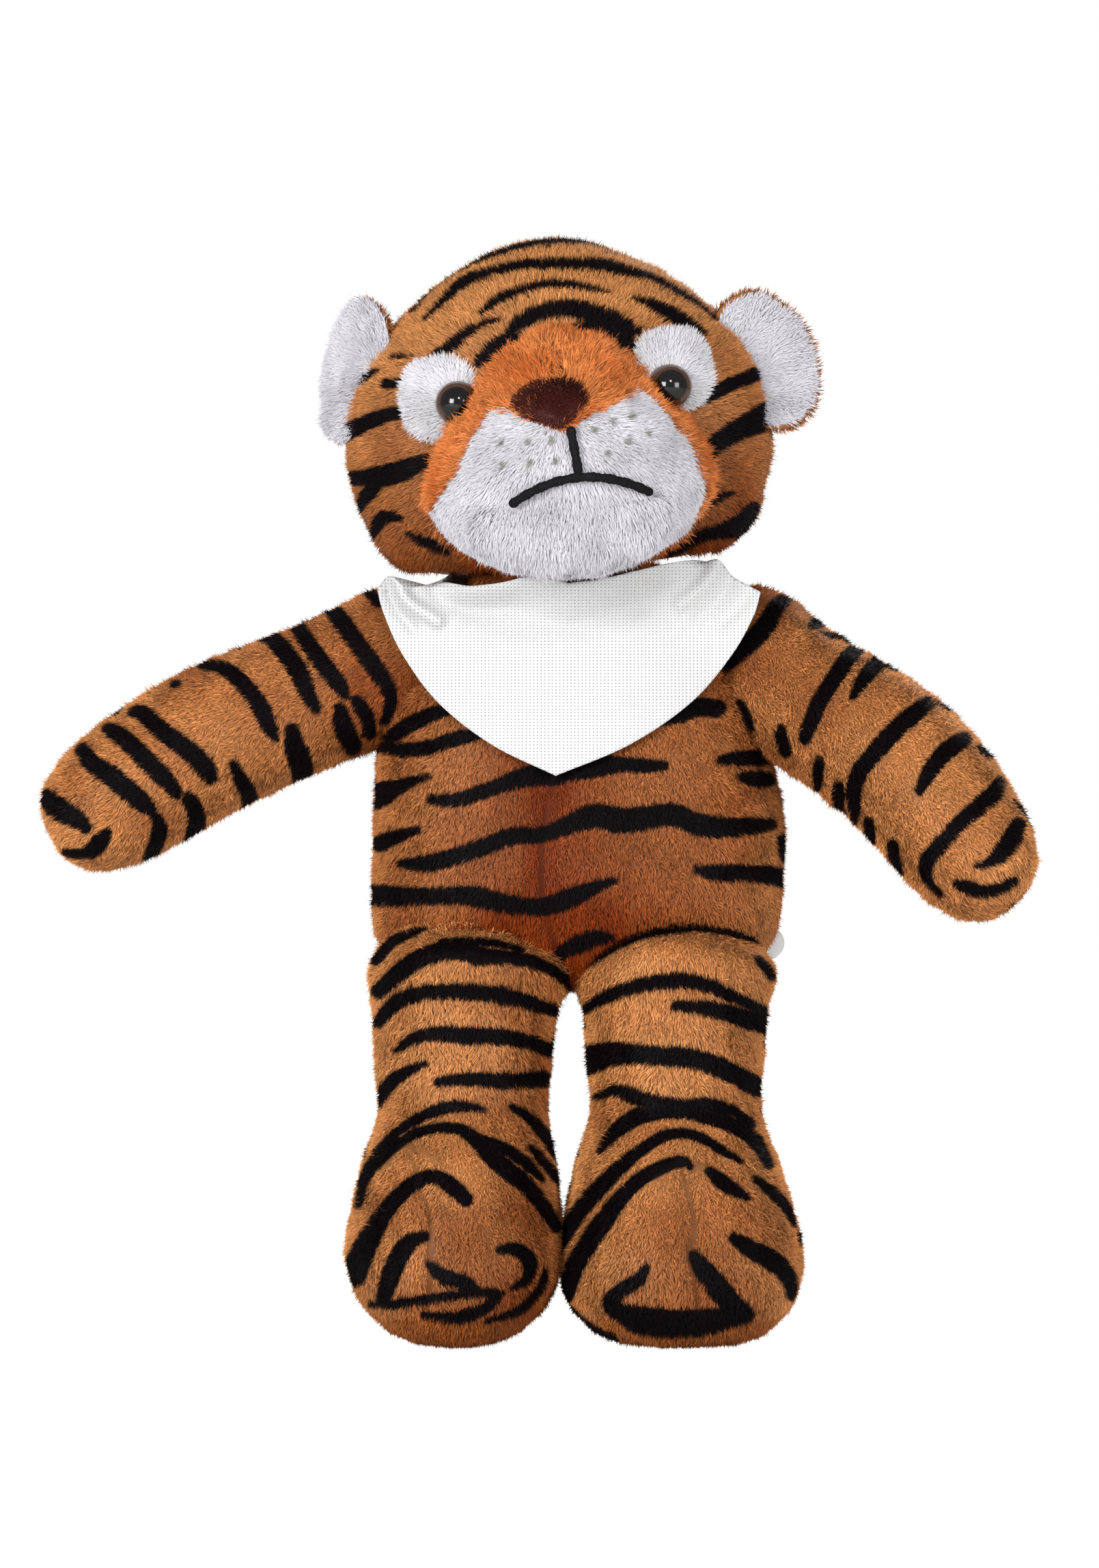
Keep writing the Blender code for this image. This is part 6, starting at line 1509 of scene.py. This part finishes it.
# %% Eyes and patches
EYE_RADIUS, EYE_DOME, SHANK_RADIUS, SHANK_LENGTH = 4.5, 4.8, 1.5, 9.5
EYES, EYE_Z = {"left": 22.9, "right": -19.7}, {"left": 2.2, "right": 2.5}
EYE_LIFT, EYE_SUNK, EYE_FORWARD, EYE_EDGE, EYE_COLUMNS = 1.9, 1.2, 2.5, 0.15, 64
PUPIL_EDGE, IRIS_EDGE = (3.05, 3.35), (4.25, 4.45)
PATCH_HALF, PATCH_SQUARE, PATCH_SINK, PATCH_PUFF = (7.4, 8.0), 2.6, 0.8, 1.1
PATCH_OUT, PATCH_UP = {"left": 1.1, "right": 3.7}, {"left": 3.4, "right": 1.3}


def head_spot(x, z):
    """A point on the head's front and the way it faces, from readings on its four sides."""
    def read(x, z):
        """A point on the head's front."""
        return np.array([x, front_of(head_rows, x, z), z])

    slope = np.cross(read(x + 0.3, z) - read(x - 0.3, z), read(x, z + 0.3) - read(x, z - 0.3))
    return read(x, z), unit(slope)


def spun(profile, around, middle, axis):
    """Rows of (radius, height) turned about an axis through a middle."""
    side = unit(np.cross(axis, (0.0, 0.0, 1.0)))
    up = np.cross(side, axis)
    angle = np.linspace(-PI, PI, around)[None, :, None]
    radius, height = np.array(profile).T[:, :, None, None]
    return (middle + height * axis + radius * (np.sin(angle) * side + np.cos(angle) * up))


def eye_material():
    """Black pupil and dark brown iris by the distance from the dome's axis, under a coat."""
    made, tree, shader = finish("eye_dome_plastic", Roughness=0.10, Coat_Weight=0.12,
                                Coat_Roughness=0.02)
    ring = ranged(tree, value_of(tree, "ring"), *PUPIL_EDGE)
    rim = ranged(tree, value_of(tree, "ring"), *IRIS_EDGE)
    iris = mix(tree, ring, (0.006, 0.005, 0.005, 1), (0.075, 0.032, 0.014, 1))
    fed(tree, shader.inputs["Base Color"], mix(tree, rim, iris, (0.02, 0.010, 0.006, 1)))
    return made


eye_plastic = eye_material()
for side in SIDES:
    spot, outward = head_spot(EYES[side], EYE_Z[side])
    place = in_head(spot)
    outward = turn_y(outward, HEAD_ROLL)
    facing = unit(outward + np.array([0, -EYE_FORWARD, 0]))
    arc = np.linspace(0, PI / 2, 28)
    profile = ([(0.01, -SHANK_LENGTH), (SHANK_RADIUS, -SHANK_LENGTH), (SHANK_RADIUS, -0.2),
                (EYE_RADIUS - 0.3, -0.2), (EYE_RADIUS, EYE_EDGE)]
               + [(EYE_RADIUS * np.cos(t) + 0.005, EYE_EDGE + (EYE_DOME - EYE_EDGE) * np.sin(t))
                  for t in arc[1:]])
    dome = Form(spun(profile, EYE_COLUMNS + 1, place + facing * (EYE_LIFT - EYE_SUNK), facing),
                np.arange(len(profile)))
    flat_points = dome.points[:, :-1].reshape(-1, 3)
    ring = np.repeat(np.array(profile)[:, 0], EYE_COLUMNS)
    mesh = close_ends(mesh_of(side + "_eye_dome", flat_points, dome.faces(), {"ring": ring}))
    piece(side + "_eye_dome", mesh, eye_plastic, "head", (side + "_eye",))

    share, top = lens_rows(24, 8)
    angle = np.linspace(-PI, PI, 61)[None]
    x = (EYES[side] + SIDES[side] * PATCH_OUT[side] + PATCH_HALF[0] * share
         * signed_power(np.sin(angle), 2 / PATCH_SQUARE))
    z = (EYE_Z[side] + PATCH_UP[side] + PATCH_HALF[1] * share
         * signed_power(np.cos(angle), 2 / PATCH_SQUARE))
    y = front_of(head_rows, x, z) + PATCH_SINK - top * PATCH_PUFF * (1 - share ** 6)
    patch = Form(in_head(np.stack([x, y, z], axis=-1)), np.arange(len(share)))
    skin(side + "_eye_patch_skin", patch, None, white_pile, "head",
         (side + "_eye_patch",))
    eye_spot = place
    strands(side + "_eye_patch_pile", patch, white_pile, "head", seed=81,
            density=20.0, length=1.8, width=0.18, lean=48, tuft=0.10, stray=0.16, dim=0.76,
            wrap=0.4, comb=lambda p: unit(p - eye_spot),
            keep=lambda p, n: ((n @ outward) > 0.2) & ~in_muzzle(p)
            & ~near_ball(p, eye_spot, EYE_RADIUS - 0.6))

# %% [markdown]
# ## Nose and mouth
# The nose is a small pad of maroon velour and the mouth is stitched with black thread. The
# pad is a lens over an outline. The thread is a tube whose radius swells at each stitch.

# %% Nose
NOSE_SHARES = [
    (-0.50, 0.48), (-0.42, 0.72), (-0.22, 0.93), (0.10, 1.00), (0.36, 0.88), (0.48, 0.62),
    (0.46, 0.42), (0.28, 0.14), (0.12, 0.00), (-0.06, 0.08), (-0.34, 0.28), (-0.50, 0.48),
]
NOSE_WIDTH, NOSE_HEIGHT, NOSE_X, NOSE_BOTTOM = 16.3, 10.4, -1.3, -4.5
NOSE_SINK, NOSE_PUFF = 0.6, 2.3
velour = pile_material("nose_velour", (0.085, 0.016, 0.012, 1), (0.05, 0.008, 0.007, 1),
                       ends=(0.7, 1.1))
outline = smooth_rows(NOSE_SHARES, 73) * (NOSE_WIDTH, NOSE_HEIGHT) + (NOSE_X, NOSE_BOTTOM)
centre = outline.mean(0)
share, top = lens_rows(24, 8)
flat_nose = centre + (outline[None] - centre) * share[..., None]
nose_y = (front_of(muzzle_rows, flat_nose[..., 0], flat_nose[..., 1]) + NOSE_SINK
          - top * NOSE_PUFF * (1 - share ** 5))
nose_form = Form(in_head(np.stack([flat_nose[..., 0], nose_y, flat_nose[..., 1]], axis=-1)),
                 np.arange(len(share)))
skin("nose_pad", nose_form, None, velour, "head", ("nose",))
strands("nose_pile", nose_form, velour, "head", seed=91, density=26.0,
        length=0.9, width=0.14, lean=35, tuft=0.2, keep=lambda p, n: n[:, 1] < -0.2)

# %% Mouth threads
MOUTH_WIDTH, MOUTH_DROP, MOUTH_X, MOUTH_Z, LIP_LINE = 28.4, 4.3, 3.2, -14.8, 9.2
THREAD_RADIUS, STITCH, PLY = 0.92, 3.6, 1.1
THREAD_LIFT, STITCH_SWELL, PLY_SWELL = 0.7, 0.09, 0.05
black_thread = grained("black_cotton", (0.003, 0.003, 0.004, 1), (0.014, 0.013, 0.014, 1),
                       900.0, 2.0, Roughness=0.8, Specular_IOR_Level=0.1)


def stitched(name, x, z, node_name):
    """A tube on the muzzle's pile with a swell at each stitch and rounded ends."""
    middles = in_head(np.stack([x, front_of(muzzle_rows, x, z) - THREAD_LIFT, z], axis=1))
    run = np.concatenate([[0], np.linalg.norm(np.diff(middles, axis=0), axis=1).cumsum()])
    swell = (1 + STITCH_SWELL * np.sin(2 * PI * run / STITCH)
             + PLY_SWELL * np.sin(2 * PI * run / PLY))
    end = np.sqrt(np.clip(1 - (1 - np.minimum(run, run[-1] - run) / THREAD_RADIUS).clip(0) ** 2,
                          0.0004, 1))
    form = Form(tube(middles, THREAD_RADIUS * swell * end, 17), run)
    mesh = close_ends(mesh_of(name, form.points[:, :-1].reshape(-1, 3), form.faces(), {}))
    piece(name, mesh, black_thread, "head", (node_name,))


t = np.linspace(-1, 1, 260)
stitched("mouth_arc_thread", MOUTH_X + MOUTH_WIDTH / 2 * t, MOUTH_Z - MOUTH_DROP * t ** 2,
         "mouth_arc")
t = np.linspace(0, 1, 90)
stitched("mouth_line_thread", MOUTH_X - (1 - t) * 0.9, NOSE_BOTTOM - t * (LIP_LINE + 0.8),
         "mouth_line")
print("mouth", MOUTH_WIDTH, "mm wide")

# %% [markdown]
# ## Neckerchief
# A triangle of white knit is laid on the chest and its two long corners go round the neck to a
# knot. The sheet is a grid: columns run from the knot round the front and back to the knot, and
# rows run from the neck down to the hem. Folds rise and sink along three slanting lines at
# each upper corner. The knit is a fine pattern of stitches on the sheet's own map.

# %% Neckerchief
SCARF_HALF, TIP_X, TIP_Z, CORNER_Z, SCARF_TOP = 38.6, -2.7, 115.8, 152.6, 154.0
SCARF_RADIUS, BAND_TOP, BAND_HEIGHT, SHOULDER_DEPTH = 22.6, 157.8, 7.0, 20.0
COLLAR_HALF, COLLAR_ROUND = (32.5, 30.0), 0.8
# Share of a half turn from the front, shares across and up of the hem, and millimetres that
# the upper edge rises on the toy's right and on its left.
SCARF_SHARES = [
    (0.00, 0.00, 0.00, 0.6, 0.6), (0.07, 0.36, 0.17, 2.0, 1.6), (0.14, 0.66, 0.40, 0.7, 3.2),
    (0.21, 0.86, 0.66, 0.0, 4.6), (0.27, 0.965, 0.87, 0.6, 5.0), (0.31, 1.00, 1.00, 0.2, 4.8),
]
# Height of the crest, its place down the cloth and its width.
CRESTS = {"right": (2.9, 0.80, 0.17), "left": (2.0, 0.27, 0.16)}
# A fold's line across and up, its height and its width.
FOLDS = [
    ([(-34.6, 157, 0), (-33.0, 151.5, 0), (-26.5, 147.0, 0)], 2.2, 1.4),
    ([(-37.2, 156, 0), (-35.6, 150.5, 0), (-31.5, 145.5, 0)], -2.0, 1.4),
    ([(-28.5, 155, 0), (-25.5, 151.0, 0), (-20.0, 148.5, 0)], -0.9, 1.6),
    ([(30.0, 159, 0), (27.4, 154.5, 0), (22.5, 150.5, 0)], 1.4, 1.5),
    ([(33.0, 157, 0), (31.2, 152.5, 0), (26.5, 148.0, 0)], -1.1, 1.6),
    ([(37.0, 155, 0), (34.6, 150.5, 0), (30.5, 146.5, 0)], 0.7, 1.5),
]
CLOTH_THICKNESS, CLOTH_LIFT = 0.6, 0.9
KNIT_PITCH, KNIT_SLANT, MAP_UNIT = 0.75, 1.15, 10
FRONT_COLUMNS, BAND_COLUMNS, EASED_COLUMNS, SCARF_ROWS = 90, 60, 18, 70


def drape(x, z):
    """Y of the cloth over the chest, rounded off past it towards the shoulders."""
    chest = -np.minimum(front_of(body_rows, x, z), 0)
    return -(chest ** 8 + SHOULDER_DEPTH ** 8) ** (1 / 8) - CLOTH_LIFT


def eased(share):
    """A share from zero to one with a gentle start and end."""
    return share * share * (3 - 2 * share)


def pleats(x, z):
    """Folds: a bell curve of height across each line, which fades where the line ends."""
    flat = np.column_stack([x.ravel(), z.ravel()])
    lift = np.zeros(len(flat))
    for line, height, width in FOLDS:
        gap = stripe_distance(flat, [even_run(line)])
        lift += height * bell(gap, 0, width)
    return lift.reshape(x.shape)


def scarf_half(side):
    """Columns from the middle of the chest to the knot, as an array of columns by rows. The
    upper edge stands up in front of the jaw, and the cloth rises to a crest near its corner."""
    sign = SIDES[side]
    angle, across, climb, *rises = smooth_rows(SCARF_SHARES, FRONT_COLUMNS).T[:, :, None]
    v = np.linspace(0, 1, SCARF_ROWS)[None]
    angle = PI * angle
    top_x = sign * COLLAR_HALF[0] * np.sin(angle)
    top_y = NECK_Y - COLLAR_HALF[1] * np.cos(angle) ** COLLAR_ROUND
    top_z = SCARF_TOP + rises[0 if side == "right" else 1]
    low_x = TIP_X * (1 - across) + sign * SCARF_HALF * across
    low_z = TIP_Z + (CORNER_Z - TIP_Z) * climb
    height, place, width = CRESTS[side]
    crest = height * bell(v, place, width) * np.clip(angle / PI / 0.1 - 2.1, 0, 1)
    x = top_x + (low_x - top_x) * v
    z = top_z + (low_z - top_z) * v + crest
    out = eased(np.clip(v / 0.24, 0, 1))
    y = top_y * (1 - out) + drape(x, z) * out - pleats(x, z)
    front = np.stack([x, y, z], axis=-1)
    turn = PI * np.linspace(SCARF_SHARES[-1][0], 0.995, BAND_COLUMNS)[1:, None]
    radius = SCARF_RADIUS + v * 1.0 + 0.5 * np.sin(v * PI) ** 2
    band = np.stack([sign * radius * np.sin(turn), NECK_Y - radius * np.cos(turn),
                     BAND_TOP - v * BAND_HEIGHT + 0 * turn], axis=-1)
    ease = eased(np.clip(1 - np.arange(1, BAND_COLUMNS) / EASED_COLUMNS, 0, 1))[:, None, None]
    band = band * (1 - ease) + front[-1][None] * ease
    return np.concatenate([front, band])


scarf_grid = np.concatenate([scarf_half("right")[:0:-1], scarf_half("left")]) + TOY


def cloth(name, grid, label, nodes=(), turned=False):
    """A thin knitted sheet from a grid of points. Its map is across and up, in centimetres, and
    turned winds its faces the other way."""
    rows, columns = grid.shape[:2]
    i, j = np.meshgrid(np.arange(rows - 1), np.arange(columns - 1), indexing="ij")
    corner = (i * columns + j).ravel()[:, None]
    ring = (0, columns, columns + 1, 1) if turned else (0, 1, columns + 1, columns)
    cells = corner + np.array(ring)
    points = grid.reshape(-1, 3)
    mesh = mesh_of(label, points, cells, {})
    place = (points - TOY)[:, [0, 2]] / MAP_UNIT
    layer = mesh.uv_layers.new(name="knit")
    layer.data.foreach_set("uv", place[cells.ravel()].astype(np.float32).ravel())
    made = piece(name, mesh, white_knit, "torso", nodes)
    thickened(made, "cloth", CLOTH_THICKNESS, 0)
    return made


def knit_material(pitch):
    """White knit: staggered stitches from two crossed sine waves, in bump and in tone."""
    made, tree, shader = finish("neckerchief_knit", Roughness=0.85)
    place = node(tree, "ShaderNodeUVMap", uv_map="knit").outputs[0]
    across, up = node(tree, "ShaderNodeSeparateXYZ", Vector=place).outputs[:2]
    turns = PI * MAP_UNIT / pitch
    first = worked_out(tree, "MULTIPLY", across, turns)
    waves = []
    for slant in (KNIT_SLANT, -KNIT_SLANT):
        total = worked_out(tree, "ADD", first, worked_out(tree, "MULTIPLY", up, turns * slant))
        waves.append(worked_out(tree, "SINE", total))
    product = worked_out(tree, "MULTIPLY", *waves)
    hole = ranged(tree, product, 0.45, 0.90)
    fuzz = noise(tree, 60.0, 4.0, place)
    pale = mix(tree, fuzz, (0.67, 0.67, 0.675, 1), (0.73, 0.73, 0.73, 1))
    fed(tree, shader.inputs["Base Color"], mix(tree, hole, pale, (0.30, 0.30, 0.31, 1)))
    bumped(tree, shader, product, 0.35, 0.0003, invert=True)
    return made


white_knit = knit_material(KNIT_PITCH)
scarf = cloth("neckerchief_cloth", scarf_grid, "neckerchief_cloth", ("neckerchief",))
spans = scarf_grid[1:, 1:] - scarf_grid[:-1, :-1], scarf_grid[1:, :-1] - scarf_grid[:-1, 1:]
cloth_area = np.linalg.norm(np.cross(*spans), axis=-1).sum() / 2
print("neckerchief cloth", round(cloth_area), "square mm")

# %% Knot and its ends
KNOT_HALF, KNOT_Y, KNOT_Z = (4.2, 3.0, 3.6), NECK_Y + SCARF_RADIUS + 2.8, 150.7


def knot_form():
    """A flattened ball with a groove where one end wraps the other."""
    turn = np.linspace(-PI / 2, PI / 2, 50)[:, None]
    angle = np.linspace(-PI, PI, 61)[None]
    wrap = 1 + 0.10 * np.cos(3 * angle + 2 * turn)
    ring = np.cos(turn) * wrap + 0.01
    points = np.stack([KNOT_HALF[0] * ring * np.sin(angle), -KNOT_HALF[1] * ring * np.cos(angle),
                       KNOT_HALF[2] * np.sin(turn) * np.ones_like(angle)], axis=-1)
    return Form(points + TOY + (0, KNOT_Y, KNOT_Z), np.arange(50))


knot = skin("neckerchief_knot_ball", knot_form(), None, white_knit, "torso",
            ("neckerchief_knot",))
knot.data.uv_layers.new(name="knit")
# Each end of the knot hangs, drifts to its side, widens and bows away from the body.
for sign in (-1, 1):
    v = np.linspace(0, 1, 40)[:, None]
    u = np.linspace(-1, 1, 21)[None]
    width = 2.2 + 2.0 * v
    x = sign * (1.0 + 5.5 * v) + width * u
    y = KNOT_Y + 0.8 + 2.0 * v + 0.9 * np.cos(2.2 * u) * (0.4 + v) + 0 * x
    z = KNOT_Z - 1.0 - 12.0 * v + 1.2 * np.abs(u) * v + 0 * x
    grid = np.stack([x, y, z], axis=-1) + TOY
    label = "knot_end_" + ("right" if sign < 0 else "left")
    cloth(label, grid, "knot_end", turned=True)

# %% [markdown]
# ## Care label and washers
# A blank folded strip of satin stands out of the side seam at the hip. The two lock washers
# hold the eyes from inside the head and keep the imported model's own shape.

# %% Label and washers
LABEL_HALF, LABEL_LOWER, LABEL_BOW = (4.2, 0.42, 3.6), 1.0, 0.25
LABEL_TURN, LABEL_INWARD = np.radians(14), (0.9, 0, 0)
label_box = [np.array(corner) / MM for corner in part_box("care_label")]
label_middle = (label_box[0] + label_box[1]) / 2
rows = np.linspace(-1, 1, 24)
label_rows = np.stack([LABEL_HALF[2] * rows - LABEL_LOWER,
                       LABEL_HALF[0] * np.sqrt(1.02 - rows ** 2), LABEL_HALF[1] + 0 * rows,
                       0 * rows, LABEL_BOW * rows ** 2, 2.4 + 0 * rows], axis=1)
label_points = turn_z(level_ovals(label_rows, 49), LABEL_TURN) + label_middle - LABEL_INWARD
label_form = Form(label_points, rows)
satin = grained("blank_satin", (0.893, 0.893, 0.893, 1), (0.95, 0.95, 0.95, 1), 1500.0, 4.0,
                0.15, 0.0002, Roughness=0.4)
skin("care_label_strip", label_form, None, satin, "torso", ("care_label",))
moulded = grained("moulded_plastic", (0.736, 0.736, 0.7176, 1), (0.80, 0.80, 0.78, 1), 700.0, 4.0,
                  0.15, 0.0002, Roughness=0.4)
for side in SIDES:
    washer = frame["nodes"][side + "_eye_washer"]
    washer.data.materials.clear()
    washer.data.materials.append(moulded)

# %% Sizes and finish
size = {"cad": [list(map(float, corner)) for corner in cad_box],
        "scene": [list(map(float, corner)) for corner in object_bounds()]}
print("sizes", size)
